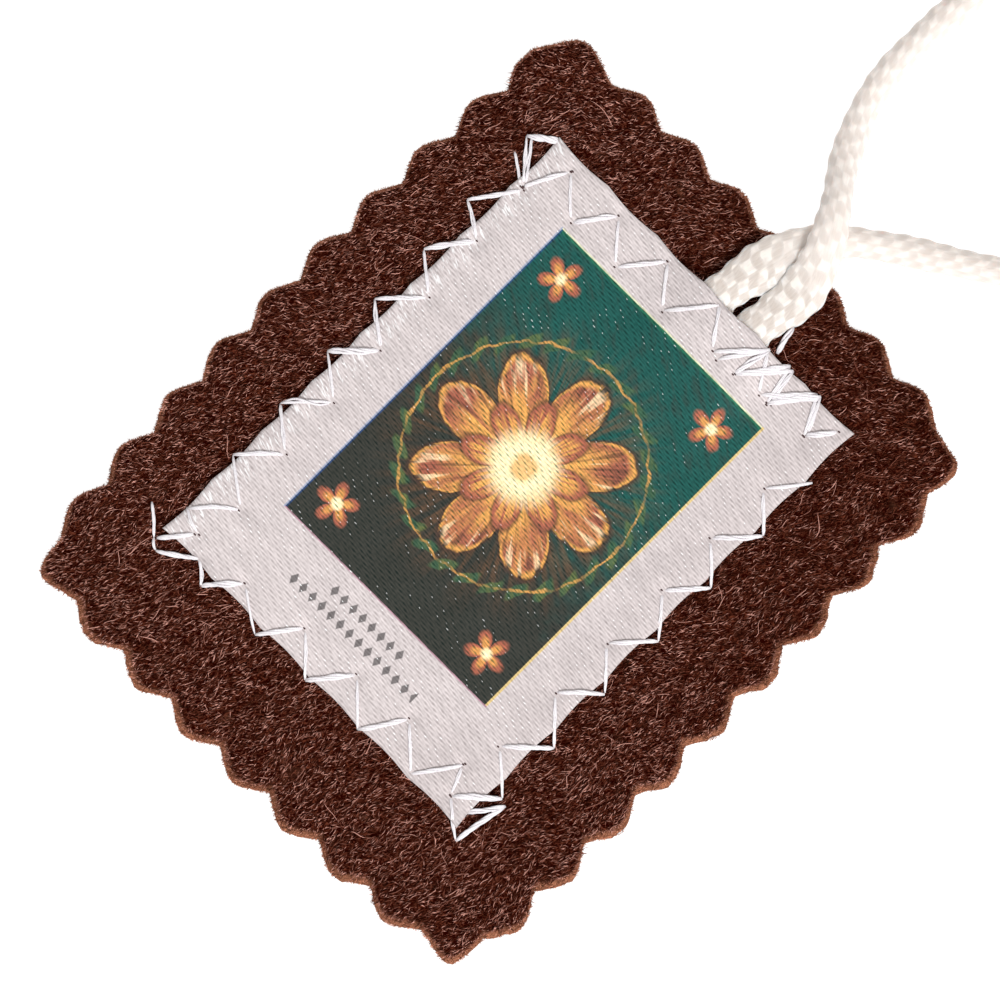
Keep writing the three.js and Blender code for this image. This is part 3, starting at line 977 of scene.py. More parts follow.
def cord_piece(name, route, seen_length, sizes, material, nodes):
    """A section carried along the route: flattened at its ends, round between, with the braid in it."""
    curve = smooth_route(route)
    gone = np.concatenate([[0.0], np.cumsum(np.linalg.norm(np.diff(curve, axis=0), axis=1))])
    total = gone[-1]
    along = np.concatenate([
        np.arange(0.0, seen_length, STEP_SEEN), np.arange(seen_length, total, STEP_AWAY), [total]])
    centre = np.column_stack([np.interp(along, gone, curve[:, k]) for k in range(3)])
    ahead = np.gradient(centre, along, axis=0)
    ahead /= np.linalg.norm(ahead, axis=1)[:, None]
    side = np.cross((0.0, 0.0, 1.0), ahead)
    side /= np.linalg.norm(side, axis=1)[:, None]
    up = np.cross(ahead, side)
    wide, tall = cord_section(along, total, sizes)
    centre = centre - up * (CORD_RADIUS - 0.5 * tall - 0.02)[:, None]
    around = np.arange(CORD_SIDES) / CORD_SIDES
    angle = 2.0 * np.pi * around
    relief = braid_relief(around[None, :], along[:, None])
    ends = smooth_step(np.minimum(along, total - along) / 0.4)[:, None]
    grow = 1.0 + 2.0 * BRAID_DEPTH * relief / (sizes.cord_width / MM)
    out_side = 0.5 * wide[:, None] * np.cos(angle) * grow * ends
    out_up = 0.5 * tall[:, None] * np.sin(angle) * grow * ends
    points = centre[:, None, :] + side[:, None, :] * out_side[..., None] + up[:, None, :] * out_up[..., None]
    points[..., 2] = np.maximum(points[..., 2], 0.02)
    points = np.concatenate([points[1:-1].reshape(-1, 3), centre[:1], centre[-1:]])
    faces, uv = cord_faces(along)
    piece = add_piece(name, points, faces, material, uv=uv)
    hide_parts(*nodes)
    return piece


# Materials

class Shader:
    """A material's node tree, with short calls for the nodes that the patterns need."""

    def __init__(self, name):
        self.material = bpy.data.materials.new(name)
        self.material.use_nodes = True
        self.tree = self.material.node_tree
        self.tree.nodes.clear()
        self.surface = self.tree.nodes.new("ShaderNodeBsdfPrincipled")
        output = self.tree.nodes.new("ShaderNodeOutputMaterial")
        self.tree.links.new(self.surface.outputs[0], output.inputs[0])

    def give(self, socket, value):
        """Links a socket to a value that is a socket, or sets it."""
        if isinstance(value, bpy.types.NodeSocket):
            self.tree.links.new(value, socket)
        else:
            socket.default_value = value

    def math(self, operation, *values):
        """The result of a Math node."""
        node = self.tree.nodes.new("ShaderNodeMath")
        node.operation = operation
        for socket, value in zip(node.inputs, values):
            self.give(socket, value)
        return node.outputs[0]

    def add(self, first, second):
        """The sum of two values."""
        return self.math("ADD", first, second)

    def sub(self, first, second):
        """The first value less the second."""
        return self.math("SUBTRACT", first, second)

    def mul(self, first, second):
        """The product of two values."""
        return self.math("MULTIPLY", first, second)

    def band(self, value, low, high):
        """Rises smoothly from 0 at low to 1 at high, or falls if low is above high."""
        node = self.tree.nodes.new("ShaderNodeMapRange")
        node.interpolation_type = "SMOOTHSTEP"
        self.give(node.inputs["Value"], value)
        if low < high:
            limits = (low, high, 0.0, 1.0)
        else:
            limits = (high, low, 1.0, 0.0)
        for name, limit in zip(("From Min", "From Max", "To Min", "To Max"), limits):
            node.inputs[name].default_value = limit
        return node.outputs["Result"]

    def mix(self, share, first, second, blend="MIX"):
        """The first colour at a share of 0, the second at 1, or their blend of another kind."""
        node = self.tree.nodes.new("ShaderNodeMix")
        node.data_type = "RGBA"
        node.blend_type = blend
        self.give(node.inputs[0], share)
        self.give(node.inputs[6], first)
        self.give(node.inputs[7], second)
        return node.outputs[2]

    def mul_colour(self, first, second):
        """The product of two colours, channel by channel."""
        return self.mix(1.0, first, second, "MULTIPLY")

    def place(self, turn=0.0, stretch=None):
        """Object coordinates in millimetres, turned about Z, then stretched by a factor for each axis."""
        coordinates = self.tree.nodes.new("ShaderNodeTexCoord")
        mapping = self.tree.nodes.new("ShaderNodeMapping")
        mapping.inputs["Scale"].default_value = (1000.0, 1000.0, 1000.0)
        mapping.inputs["Rotation"].default_value = (0.0, 0.0, turn)
        self.tree.links.new(coordinates.outputs["Object"], mapping.inputs["Vector"])
        if stretch is None:
            return mapping.outputs[0]
        node = self.tree.nodes.new("ShaderNodeVectorMath")
        node.operation = "MULTIPLY"
        self.tree.links.new(mapping.outputs[0], node.inputs[0])
        node.inputs[1].default_value = stretch
        return node.outputs[0]

    def along(self):
        """The piece's own map: round the cord in turns, and along it in millimetres."""
        return self.tree.nodes.new("ShaderNodeTexCoord").outputs["UV"]

    def split(self, vector):
        """A vector's three parts."""
        node = self.tree.nodes.new("ShaderNodeSeparateXYZ")
        self.tree.links.new(vector, node.inputs[0])
        return node.outputs[0], node.outputs[1], node.outputs[2]

    def join(self, x, y, z=0.0):
        """A vector made of three values."""
        node = self.tree.nodes.new("ShaderNodeCombineXYZ")
        for socket, value in zip(node.inputs, (x, y, z)):
            self.give(socket, value)
        return node.outputs[0]

    def noise(self, vector, scale, detail=2.0, twist=0.0):
        """Soft noise at a place, mostly between 0.3 and 0.7."""
        node = self.tree.nodes.new("ShaderNodeTexNoise")
        self.tree.links.new(vector, node.inputs["Vector"])
        node.inputs["Scale"].default_value = scale
        node.inputs["Detail"].default_value = detail
        node.inputs["Distortion"].default_value = twist
        return node.outputs[0]

    def attribute(self, name):
        """The value that each point of the mesh carries under a name."""
        node = self.tree.nodes.new("ShaderNodeAttribute")
        node.attribute_name = name
        return node.outputs["Fac"]

    def bump(self, height, strength, distance):
        """Tilts the surface as a height does, which at 1 stands for a distance in millimetres."""
        node = self.tree.nodes.new("ShaderNodeBump")
        node.inputs["Strength"].default_value = strength
        node.inputs["Distance"].default_value = distance * MM
        self.tree.links.new(height, node.inputs["Height"])
        self.tree.links.new(node.outputs[0], self.surface.inputs["Normal"])

    def finish(self, base, roughness, **constants):
        """Sets the shader's own sockets and gives back the material."""
        self.give(self.surface.inputs["Base Color"], base)
        self.give(self.surface.inputs["Roughness"], roughness)
        for name, value in constants.items():
            self.surface.inputs[name.replace("_", " ")].default_value = value
        return self.material


def tinted(tint, *factors):
    """A colour times one factor, or times one for each channel, up to full brightness."""
    if len(factors) == 1:
        factors = factors * 3
    return tuple(min(1.0, value * factor) for value, factor in zip(tint, factors)) + (1.0,)


def felt_material(colours):
    """Matted wool: two stretched, twisted noises crossed, from the deep colour to the middle one."""
    s = Shader("felt_wool")
    lie = -PHOTO_TURN - NAP_LIE
    fine = s.noise(s.place(lie, (2.6, 6.5, 2.0)), 1.0, 3.0, 1.2)
    cross = s.noise(s.place(lie + 0.7, (3.0, 6.0, 2.0)), 1.0, 2.0, 1.6)
    fibre = s.band(s.math("MAXIMUM", fine, cross), 0.50, 0.72)
    base = s.mix(fibre, tuple(colours.felt_deep), tuple(colours.felt_mid))
    height = s.split(s.place())[2]
    rim = tuple(colours.felt_rim)
    # partly painted sheen: the cut edge low on the felt takes the lighter rim colour
    edge = s.mix(s.band(fine, 0.35, 0.62), tinted(rim, RIM_DARK), rim)
    base = s.mix(s.band(height, RIM_COLOUR_TOP, RIM_COLOUR_FULL), base, edge)
    s.bump(fibre, 0.8, 0.08)
    return s.finish(base, 0.95, Specular_IOR_Level=0.0)


def nap_material(layer, colours):
    """Loose wool fibres, each with its own shade from dark through mid to light, and the cut edge's
    colour lower down."""
    s = Shader("nap_" + layer["name"])
    dark, mid = tuple(getattr(colours, layer["dark"])), tuple(colours.felt_mid)
    rim = tuple(colours.felt_rim)
    shade = s.attribute("shade")
    base = s.mix(s.band(shade, -0.05, 0.25), dark, mid)
    # towards the light colour: partly painted highlight
    base = s.mix(s.band(shade, 0.08, 0.95), base, tuple(colours.felt_light))
    height = s.split(s.place())[2]
    # partly painted sheen: fibres low on the cut edge take the lighter rim colour, up to 1.7 times it
    edge = s.mix(s.band(shade, 0.0, 0.6), tinted(rim, RIM_DARK), tinted(rim, 1.7))
    base = s.mix(s.mul(s.band(height, 2.02, 1.62), 0.85), base, edge)
    return s.finish(base, 0.7, Specular_IOR_Level=0.0)


def weave_turns(s):
    """Where a place lies in the weave: turns across the threads, and across the dashes' rows, both
    whole at the middle of each dash. A slow noise lets the threads wander."""
    wander = s.mul(s.sub(s.noise(s.place(), 0.45, 2.0), 0.5), 0.16)
    x, y, _ = s.split(s.place(WEAVE_TURN))
    thread = s.math("DIVIDE", s.add(y, wander), THREAD_PITCH)
    row = s.sub(s.math("DIVIDE", x, DASH_PERIOD), s.mul(thread, DASH_SHIFT))
    return thread, row


def wave(s, thread, row, threads, rows):
    """The cosine of whole numbers of turns across the threads and the rows."""
    turns = s.add(s.mul(thread, threads), s.mul(row, rows))
    return s.math("COSINE", s.mul(turns, 2.0 * math.pi))


def weave(s, thread, row):
    """Satin's weave: short dark dashes where the threads dip, as the sum of a few cosines that all
    peak at a dash's middle, and a fine grain along the threads."""
    total = 0.0
    for part in WEAVE_WAVES:
        total = s.add(total, s.mul(wave(s, thread, row, part["threads"], part["rows"]), part["share"]))
    uneven = s.band(s.noise(s.place(WEAVE_TURN, (0.8, 1.4, 1.0)), 1.0, 2.0), 0.2, 0.7)
    grain = s.sub(s.noise(s.place(WEAVE_TURN, (2.6, 9.0, 1.0)), 1.0, 2.0), 0.5)
    dark = s.add(s.mul(total, s.add(0.11, s.mul(uneven, 0.08))), s.mul(grain, 1.2))
    return s.band(dark, -0.85, 1.0)


def glints(s, thread, row, most):
    """Points where a thread turns to the light: small spots halfway between the dashes, on some of
    the weave's crossings, in patches, where they reach the given share of the crossings."""
    half_thread = s.sub(thread, 0.5)
    half_row = s.sub(row, 0.5)
    total = s.add(
        s.add(wave(s, half_thread, half_row, 1.0, 0.0), wave(s, half_thread, half_row, 0.0, 1.0)),
        s.add(wave(s, half_thread, half_row, 1.0, 1.0), wave(s, half_thread, half_row, 1.0, 2.0)))
    spot = s.band(total, 2.7, 3.7)
    node = s.tree.nodes.new("ShaderNodeTexWhiteNoise")
    node.noise_dimensions = "2D"
    crossing = s.join(s.math("FLOOR", thread), s.math("FLOOR", s.add(row, thread)))
    s.tree.links.new(crossing, node.inputs["Vector"])
    patchy = s.mul(s.band(s.noise(s.place(), 0.4, 3.0), 0.35, 0.75), most)
    chosen = s.band(s.sub(patchy, node.outputs["Value"]), 0.0, 0.12)
    return s.mul(spot, chosen)


def petals(s, reach, turn, count, inner, outer, swell):
    """A ring of petals: the distance from the middle to a rim that swells as a cosine's power."""
    swing = s.math("ABSOLUTE", s.math("COSINE", s.mul(turn, count / 2.0)))
    rim = s.add(inner, s.mul(s.math("POWER", swing, swell), outer - inner))
    return s.sub(rim, reach)


def flower(s, x, y, at, turned=0.0):
    """Distance and angle about a flower's middle."""
    from_x, from_y = s.sub(x, at[0]), s.sub(y, at[1])
    reach = s.math("SQRT", s.add(s.mul(from_x, from_x), s.mul(from_y, from_y)))
    turn = s.add(s.math("ARCTAN2", from_y, from_x), turned)
    return reach, turn


def print_ground(s, x, y, wobble, brush, colours):
    """Teal that darkens downwards, brushed over with the deep colour."""
    deep = tuple(colours.print_deep)
    slope = s.add(s.add(s.mul(y, 0.055), s.mul(x, 0.02)), s.mul(wobble, 0.8))
    picture = s.mix(s.band(slope, -0.15, 0.6), deep, tuple(colours.print_ground))
    return s.mix(s.mul(s.band(brush, 0.45, 0.75), 0.5), picture, deep)


def leaf_ring(s, picture, reach, turn, rays, streak, brush, gold):
    """A brown glow round the medallion, and a ring of small leaves along a gold vein."""
    glow = s.mul(s.band(reach, 12.0, 5.5), s.band(rays, 0.38, 0.66))
    picture = s.mix(s.mul(glow, 0.55), picture, (0.16, 0.085, 0.04, 1.0))
    from_ring = s.sub(reach, LEAF_RING)
    off_ring = s.math("ABSOLUTE", from_ring)
    leaves = petals(s, off_ring, s.add(turn, s.mul(from_ring, 0.11)), 30, 0.02, 0.85, 1.6)
    leaf = s.mix(s.band(brush, 0.4, 0.7), (0.035, 0.10, 0.055, 1.0), (0.10, 0.15, 0.05, 1.0))
    picture = s.mix(s.mul(s.band(leaves, 0.0, 0.35), 0.8), picture, leaf)
    vein = s.mul(s.band(off_ring, 0.14, 0.04), 0.7)
    return s.mix(s.mul(vein, s.band(streak, 0.3, 0.6)), picture, gold)


def medallion(s, picture, reach, turn, rays, streak, gold, rose, pale):
    """Eight large petals, eight smaller ones between them, and a pale heart with a gold eye."""
    outer = petals(s, reach, turn, 8, 4.4, 8.3, 0.7)
    picture = s.mix(s.mul(s.band(outer, -0.35, 0.2), 0.8), picture, UMBER)
    picture = s.mix(s.mul(s.band(outer, 0.1, 0.4), s.band(rays, 0.35, 0.55)), picture, gold)
    shading = s.band(s.add(s.mul(reach, 0.11), s.mul(streak, 1.2)), 0.85, 1.45)
    petal = s.mix(shading, gold, rose)
    petal = s.mix(s.mul(s.band(rays, 0.5, 0.7), 0.65), petal, UMBER)
    petal = s.mix(s.mul(s.band(s.add(rays, s.mul(reach, -0.05)), 0.16, 0.0), 0.6), petal, pale)
    picture = s.mix(s.band(outer, 0.3, 0.9), picture, petal)
    second = petals(s, reach, s.add(turn, math.pi / 8.0), 8, 2.4, 5.1, 0.8)
    picture = s.mix(s.mul(s.band(second, -0.3, 0.2), 0.7), picture, UMBER)
    picture = s.mix(s.band(second, 0.05, 0.5), picture, rose)
    picture = s.mix(s.mul(s.band(second, 0.4, 1.4), s.band(rays, 0.38, 0.6)), picture, gold)
    picture = s.mix(s.band(s.add(reach, s.mul(rays, 1.6)), 4.2, 2.4), picture, pale)
    return s.mix(s.mul(s.band(reach, 1.3, 0.7), 0.75), picture, gold)


def sprigs(s, picture, x, y, wobble, gold, rose, pale):
    """A small flower of five petals in each corner of the print."""
    for across in (-1.0, 1.0):
        for up in (-1.0, 1.0):
            corner = (PRINT_MIDDLE[0] + across * SPRIG_ACROSS, PRINT_MIDDLE[1] + up * SPRIG_UP)
            far, around = flower(s, x, y, corner, across * 0.4 + up * 0.3)
            far = s.add(far, s.mul(wobble, 0.5))
            small = petals(s, far, around, 5, 0.6, 1.75, 0.8)
            picture = s.mix(s.band(small, -0.1, 0.3), picture, rose)
            picture = s.mix(s.mul(s.band(small, 0.35, 0.9), 0.75), picture, gold)
            picture = s.mix(s.band(far, 0.6, 0.2), picture, pale)
    return picture


def inside_bounds(s, x, y, bounds):
    """1 inside a rectangle and 0 outside, with an edge that softens inwards."""
    left, right, low, high = bounds
    return s.mul(
        s.mul(s.band(x, left, left + PRINT_BLUR), s.band(x, right, right - PRINT_BLUR)),
        s.mul(s.band(y, low, low + PRINT_BLUR), s.band(y, high, high - PRINT_BLUR)))


def printed_picture(s, colours, ground):
    """A plain flower medallion on a teal ground that darkens downwards, with sprigs in the corners and
    a thin line round it, where the print's colours don't quite meet."""
    x, y, _ = s.split(s.place())
    wobble = s.sub(s.noise(s.place(), 0.8, 4.0), 0.5)
    brush = s.noise(s.place(0.6, (0.5, 1.6, 1.0)), 1.0, 4.0, 0.8)
    gold, rose, pale = tuple(colours.print_gold), tuple(colours.print_rose), tuple(colours.print_pale)
    reach, turn = flower(s, x, y, PRINT_MIDDLE)
    reach = s.add(reach, s.mul(wobble, 0.9))
    rays = s.noise(s.join(s.mul(turn, 14.0), s.mul(reach, 0.22)), 1.0, 3.0)
    streak = s.noise(s.join(s.mul(turn, 5.0), s.mul(reach, 0.35), 3.0), 1.0, 4.0)
    picture = print_ground(s, x, y, wobble, brush, colours)
    picture = leaf_ring(s, picture, reach, turn, rays, streak, brush, gold)
    picture = medallion(s, picture, reach, turn, rays, streak, gold, rose, pale)
    picture = sprigs(s, picture, x, y, wobble, gold, rose, pale)
    picture = s.mix(s.mul(s.band(y, 16.6, 16.85), 0.55), picture, (0.02, 0.17, 0.08, 1.0))
    picture = s.mix(s.mul(s.band(x, -10.8, -10.92), 0.7), picture, (0.02, 0.07, 0.22, 1.0))
    line = s.mix(s.band(x, 9.2, 9.3), (0.72, 0.74, 0.46, 1.0), (0.72, 0.52, 0.15, 1.0))
    line = s.mix(s.band(y, -11.1, -11.2), line, (0.40, 0.18, 0.26, 1.0))
    line = s.mix(s.band(x, -10.95, -11.02), line, (0.26, 0.33, 0.50, 1.0))
    ground = s.mix(s.mul(inside_bounds(s, x, y, PRINT_LINE), 0.8), ground, line)
    inside = inside_bounds(s, x, y, PRINT_BOUNDS)
    return s.mix(inside, ground, picture), inside


def small_ornament(s, colours, ground):
    """Two short rows of small lozenges below the print."""
    x, y, _ = s.split(s.place())
    for row_y, left, right in LOZENGE_ROWS:
        step = s.math("FRACT", s.math("DIVIDE", s.sub(x, left), LOZENGE_PITCH))
        from_middle = s.mul(s.math("ABSOLUTE", s.sub(step, 0.5)), LOZENGE_PITCH)
        from_row = s.math("ABSOLUTE", s.sub(y, row_y))
        lozenge = s.band(s.add(from_middle, s.mul(from_row, 0.62)), 0.36, 0.24)
        within = s.mul(s.band(x, left - 0.02, left + 0.02), s.band(x, right + 0.02, right - 0.02))
        ground = s.mix(s.mul(s.mul(lozenge, within), 0.85), ground, tuple(colours.mark))
    return ground


def satin_material(name, colours, printed):
    """Woven satin, with the print in its threads on the front patch. It is darker where it turns away
    from the lamp, and along the left edge its threads are drawn out, with pale streaks painted on them
    as glints."""
    s = Shader(name)
    thread, row = weave_turns(s)
    tone = s.noise(s.place(WEAVE_TURN, (0.35, 3.0, 1.0)), 1.0, 3.0)
    base = s.mix(s.band(tone, 0.3, 0.7), tinted(colours.satin, 0.94), tinted(colours.satin, 1.08))
    inside = 0.0
    if printed:
        base = small_ornament(s, colours, base)
        base, inside = printed_picture(s, colours, base)
    dark = weave(s, thread, row)
    lifted = s.mix(inside, (1.22, 1.22, 1.22, 1.0), (1.85, 1.5, 1.5, 1.0))
    sunk = s.mix(inside, (0.62, 0.60, 0.60, 1.0), (0.22, 0.40, 0.40, 1.0))
    base = s.mul_colour(base, s.mix(dark, lifted, sunk))
    spark = glints(s, thread, row, s.sub(0.62, s.mul(inside, 0.27)))
    spark = s.mul(spark, s.sub(0.9, s.mul(inside, 0.4)))
    across, up, _ = s.split(s.place())
    turned_away = s.math("MAXIMUM", s.band(across, 8.5, 12.0), s.band(s.sub(across, up), 18.0, 26.0))
    base = s.mul_colour(base, s.mix(turned_away, WHITE, (0.925, 0.92, 0.92, 1.0)))
    # partly painted highlight: threads drawn out along the left edge, given pale glinting streaks
    pulled = s.band(s.noise(s.place(WEAVE_TURN + 0.25, (1.2, 6.5, 1.0)), 1.0, 2.0), 0.56, 0.66)
    pulled = s.mul(s.mul(pulled, s.band(across, -13.6, -15.0)), 0.75)
    base = s.mix(s.math("MAXIMUM", spark, pulled), base, (0.95, 0.95, 0.95, 1.0))
    s.bump(s.sub(1.0, dark), 0.2, 0.02)
    return s.finish(base, 0.55, Specular_IOR_Level=0.1)


def thread_material(colours):
    """Bright twisted filaments in fine noise."""
    s = Shader("thread_white")
    tint = tuple(colours.thread)
    fine = s.noise(s.place(PHOTO_TURN, (7.0, 7.0, 7.0)), 1.0, 3.0, 0.6)
    base = s.mix(s.band(fine, 0.35, 0.6), tinted(tint, 0.88, 0.86, 0.90), tint)
    s.bump(fine, 0.15, 0.02)
    return s.finish(base, 0.45, Specular_IOR_Level=0.3)


def cord_material(colours):
    """The braid's facets, some of them lighter, with duller gaps between and fine filaments along:
    painted highlights on the facets, lighter on some as painted reflection, painted shade in the gaps,
    a painted sheen on the filaments, and painted light where the cord lies free.
    """
    s = Shader("cord_braid")
    around, along, _ = s.split(s.along())
    stray = s.sub(s.noise(s.join(s.mul(around, 9.0), s.mul(along, 0.6)), 1.0, 1.0), 0.5)
    turns = s.add(s.mul(around, math.pi * BRAID_COLUMNS), s.mul(stray, 1.2))
    steps = s.add(s.mul(along, 2.0 * math.pi / BRAID_LENGTH), s.mul(stray, 3.6))
    columns = s.math("COSINE", turns)
    rows = s.mul(s.math("SIGN", columns), s.math("COSINE", s.add(steps, s.mul(turns, BRAID_SLANT))))
    height = s.math("MINIMUM", s.mul(s.math("ABSOLUTE", columns), 1.3), s.add(rows, BRAID_OVERLAP))
    # painted reflection: some facets are lighter than others
    uneven = s.band(s.noise(s.join(s.mul(around, 13.0), s.mul(along, 1.1), 2.0), 1.0, 1.0), 0.36, 0.6)
    # painted light: rises from 5 to 12 mm past the front end, where the cord lies free
    loose = s.band(along, 5.0, 12.0)
    streak = s.noise(s.join(s.mul(around, 75.0), s.mul(along, 0.8), 4.0), 1.0, 2.0)
    slant = s.noise(s.join(s.add(s.mul(around, 60.0), s.mul(along, 2.2)), s.mul(along, 0.7)), 1.0, 2.0)
    filament = s.band(s.math("MAXIMUM", streak, slant), 0.45, 0.72)
    tint = tuple(colours.cord)
    dull = tinted(tint, 0.96, 0.95, 0.94)
    # painted shade colour for the gaps between the facets
    shade = tinted(tint, 0.72, 0.65, 0.59)
    # painted highlight colour for the facets and the filaments
    painted_highlight = tinted(tint, 1.32)
    base = s.mix(s.mul(s.band(height, 0.12, 0.5), s.add(0.1, s.mul(uneven, 0.75))), dull, painted_highlight)
    base = s.mix(s.mul(s.band(height, 0.15, -0.5), 0.34), base, shade)
    # partly painted sheen: the filament lines are lightened
    base = s.mix(s.mul(filament, 0.22), base, painted_highlight)
    base = s.mix(s.mul(s.band(streak, 0.42, 0.28), 0.3), base, shade)
    base = s.mix(s.mul(loose, 0.55), base, tinted(tint, 1.12))
    s.bump(s.add(s.mul(filament, 0.4), s.mul(height, 0.5)), 0.3, 0.05)
    return s.finish(base, 0.45, Specular_IOR_Level=0.3, Subsurface_Weight=1.0,
                    Subsurface_Radius=(1.0, 0.9, 0.82), Subsurface_Scale=0.7 * MM)


def hole_material(colours):
    """The matt dark of a needle hole, with a faint soft mottle."""
    s = Shader("needle_hole")
    dark = tuple(colours.hole)
    mottle = s.band(s.noise(s.place(), 0.4, 2.0), 0.3, 0.7)
    return s.finish(s.mix(mottle, tinted(dark, 0.9), dark), 0.95)


# Operators

class SCAPULAR_OT_stage(Operator):
    """Makes the camera, the floor and the soft lights"""
    bl_idname = "scapular.stage"
    bl_label = "Stage"

    def execute(self, context):
        stage = context.scene.scapular_stage
        add_camera(context.scene)
        add_floor(stage)
        add_lights(context.scene, stage)
        return {"FINISHED"}


def add_camera(scene):
    """A long lens straight above the photograph's middle, turned as the photograph is."""
    data = bpy.data.cameras.new("camera")
    data.lens = LENS
    data.sensor_width = SENSOR
    data.clip_start = 0.01
    data.clip_end = 50.0
    camera = bpy.data.objects.new("camera", data)
    distance = 0.5 * PHOTO_WIDTH / (0.5 * SENSOR / LENS)
    camera.location = (PHOTO_CENTRE_X * MM, 0.0, (distance + FELT_TOP) * MM)
    camera.rotation_euler = (0.0, 0.0, PHOTO_TURN)
    scene.collection.objects.link(camera)
    scene.camera = camera


def add_floor(stage):
    """A wide plain sheet that the scapular lies on."""
    reach = FLOOR_REACH
    corners = [(-reach, -reach, 0), (reach, -reach, 0), (reach, reach, 0), (-reach, reach, 0)]
    mesh = bpy.data.meshes.new("floor")
    mesh.from_pydata(corners, [], [(0, 1, 2, 3)])
    mesh.materials.append(Shader("floor_pale").finish(
        tuple(stage.floor), 0.9, Specular_IOR_Level=0.1, Emission_Color=WHITE,
        Emission_Strength=stage.floor_glow))
    floor = bpy.data.objects.new("floor", mesh)
    bpy.context.scene.collection.objects.link(floor)


def add_lights(scene, stage):
    """A large soft light from the photograph's lower right, and an even sky."""
    world = bpy.data.worlds.new("sky")
    world.use_nodes = True
    background = world.node_tree.nodes["Background"]
    background.inputs["Color"].default_value = WHITE
    background.inputs["Strength"].default_value = stage.sky_strength
    scene.world = world
    scene.view_settings.view_transform = "Standard"
    data = bpy.data.lights.new("key", "AREA")
    data.energy = stage.key_power
    data.size = LAMP_SIZE
    key = bpy.data.objects.new("key", data)
    key.location = (
        LAMP_DISTANCE * math.sin(LAMP_TILT) * math.cos(LAMP_TURN),
        LAMP_DISTANCE * math.sin(LAMP_TILT) * math.sin(LAMP_TURN),
        LAMP_DISTANCE * math.cos(LAMP_TILT))
    key.rotation_euler = (-key.location).to_track_quat("-Z", "Y").to_euler()
    scene.collection.objects.link(key)


class SCAPULAR_OT_cords(Operator):
    """Lays both braided cords from the front patch through the coil to the back patch"""
    bl_idname = "scapular.cords"
    bl_label = "Cords"

    def execute(self, context):
        sizes = context.scene.scapular_sizes
        material = cord_material(context.scene.scapular_colours)
        first = np.concatenate([
            TUCKED_FRONT_1, FRONT_CORD_1, INTO_COIL_1, coil_turns(COIL_START_1, COIL_LAST, -1.0),
            OUT_OF_COIL_1, BACK_CORD_1, TUCKED_BACK_1])
        cord_piece("cord_1", first, SEEN_LENGTH_1, sizes, material,
                   ("cord_1_front", "cord_coil", "cord_1_back"))
        second = np.concatenate([
            TUCKED_FRONT_2, FRONT_CORD_2, INTO_COIL_2, coil_turns(COIL_START_2, COIL_LAST, 1.0),
            OUT_OF_COIL_2, BACK_CORD_2, TUCKED_BACK_2])
        cord_piece("cord_2", second, SEEN_LENGTH_2, sizes, material,
                   ("cord_2_front", "cord_coil", "cord_2_back"))
        return {"FINISHED"}


class SCAPULAR_OT_felt(Operator):
    """Makes both scalloped felt panels"""
    bl_idname = "scapular.felt"
    bl_label = "Felt panels"

    def execute(self, context):
        material = felt_material(context.scene.scapular_colours)
        for panel in PANELS:
            felt_cloth(panel, material)
        return {"FINISHED"}


class SCAPULAR_OT_nap(Operator):
    """Strews loose wool fibres over the felt and along its cut edge"""
    bl_idname = "scapular.nap"
    bl_label = "Nap"

    def execute(self, context):
        sizes = context.scene.scapular_sizes
        colours = context.scene.scapular_colours
        materials = [nap_material(layer, colours) for layer in NAP_LAYERS]
        for number, panel in enumerate(PANELS):
            rng = np.random.default_rng(SEED + 10 + number)
            for layer, material in zip(NAP_LAYERS, materials):
                nap(panel, layer, rng, sizes, material)
        return {"FINISHED"}


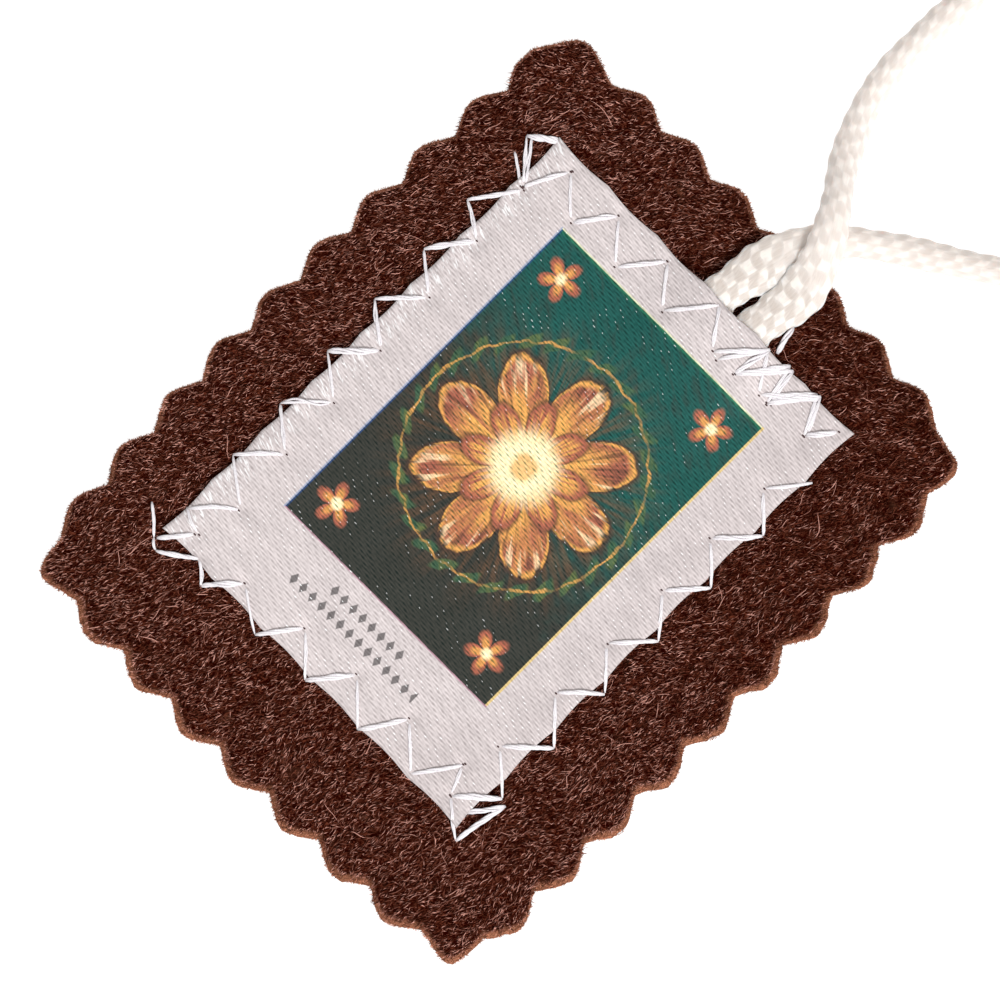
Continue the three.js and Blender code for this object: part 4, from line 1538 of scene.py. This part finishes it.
class SCAPULAR_OT_patches(Operator):
    """Makes the printed front patch and the plain back patch"""
    bl_idname = "scapular.patches"
    bl_label = "Satin patches"

    def execute(self, context):
        colours = context.scene.scapular_colours
        thick = context.scene.scapular_sizes.satin_thick / MM
        satin_patch(PANELS[0], thick, satin_material("satin_printed", colours, True))
        satin_patch(PANELS[1], thick, satin_material("satin_plain", colours, False))
        return {"FINISHED"}


class SCAPULAR_OT_stitches(Operator):
    """Sews the zigzag round both patches"""
    bl_idname = "scapular.stitches"
    bl_label = "Stitches"

    def execute(self, context):
        colours = context.scene.scapular_colours
        width = context.scene.scapular_sizes.thread_width / MM
        thread = thread_material(colours)
        hole = hole_material(colours)
        for panel in PANELS:
            stitching(panel, width, thread)
            needle_holes(panel, hole)
        return {"FINISHED"}


class SCAPULAR_PT_panel(Panel):
    """Lists the steps in the 3D view's sidebar"""
    bl_idname = "SCAPULAR_PT_panel"
    bl_label = "Scapular"
    bl_space_type = "VIEW_3D"
    bl_region_type = "UI"
    bl_category = "Scapular"

    def draw(self, context):
        scene = context.scene
        for step in STEPS:
            self.layout.operator(step.bl_idname)
        for group in (scene.scapular_sizes, scene.scapular_colours, scene.scapular_stage):
            box = self.layout.box()
            for name in group.__annotations__:
                box.prop(group, name)


STEPS = (
    SCAPULAR_OT_stage,
    SCAPULAR_OT_cords,
    SCAPULAR_OT_felt,
    SCAPULAR_OT_nap,
    SCAPULAR_OT_patches,
    SCAPULAR_OT_stitches,
)
GROUPS = {
    "scapular_sizes": ScapularSizes,
    "scapular_colours": ScapularColours,
    "scapular_stage": ScapularStage,
}


def register():
    """Registers the classes and gives the scene its groups of sizes and colours."""
    for name, group in GROUPS.items():
        bpy.utils.register_class(group)
        setattr(bpy.types.Scene, name, PointerProperty(type=group))
    for step in (*STEPS, SCAPULAR_PT_panel):
        bpy.utils.register_class(step)


def unregister():
    """Takes back all that register did."""
    for step in (SCAPULAR_PT_panel, *reversed(STEPS)):
        bpy.utils.unregister_class(step)
    for name, group in GROUPS.items():
        delattr(bpy.types.Scene, name)
        bpy.utils.unregister_class(group)


def main():
    """Builds the scapular in order."""
    register()
    bpy.ops.scapular.stage()
    bpy.ops.scapular.cords()
    bpy.ops.scapular.felt()
    bpy.ops.scapular.nap()
    bpy.ops.scapular.patches()
    bpy.ops.scapular.stitches()


if __name__ == "__main__":
    main()
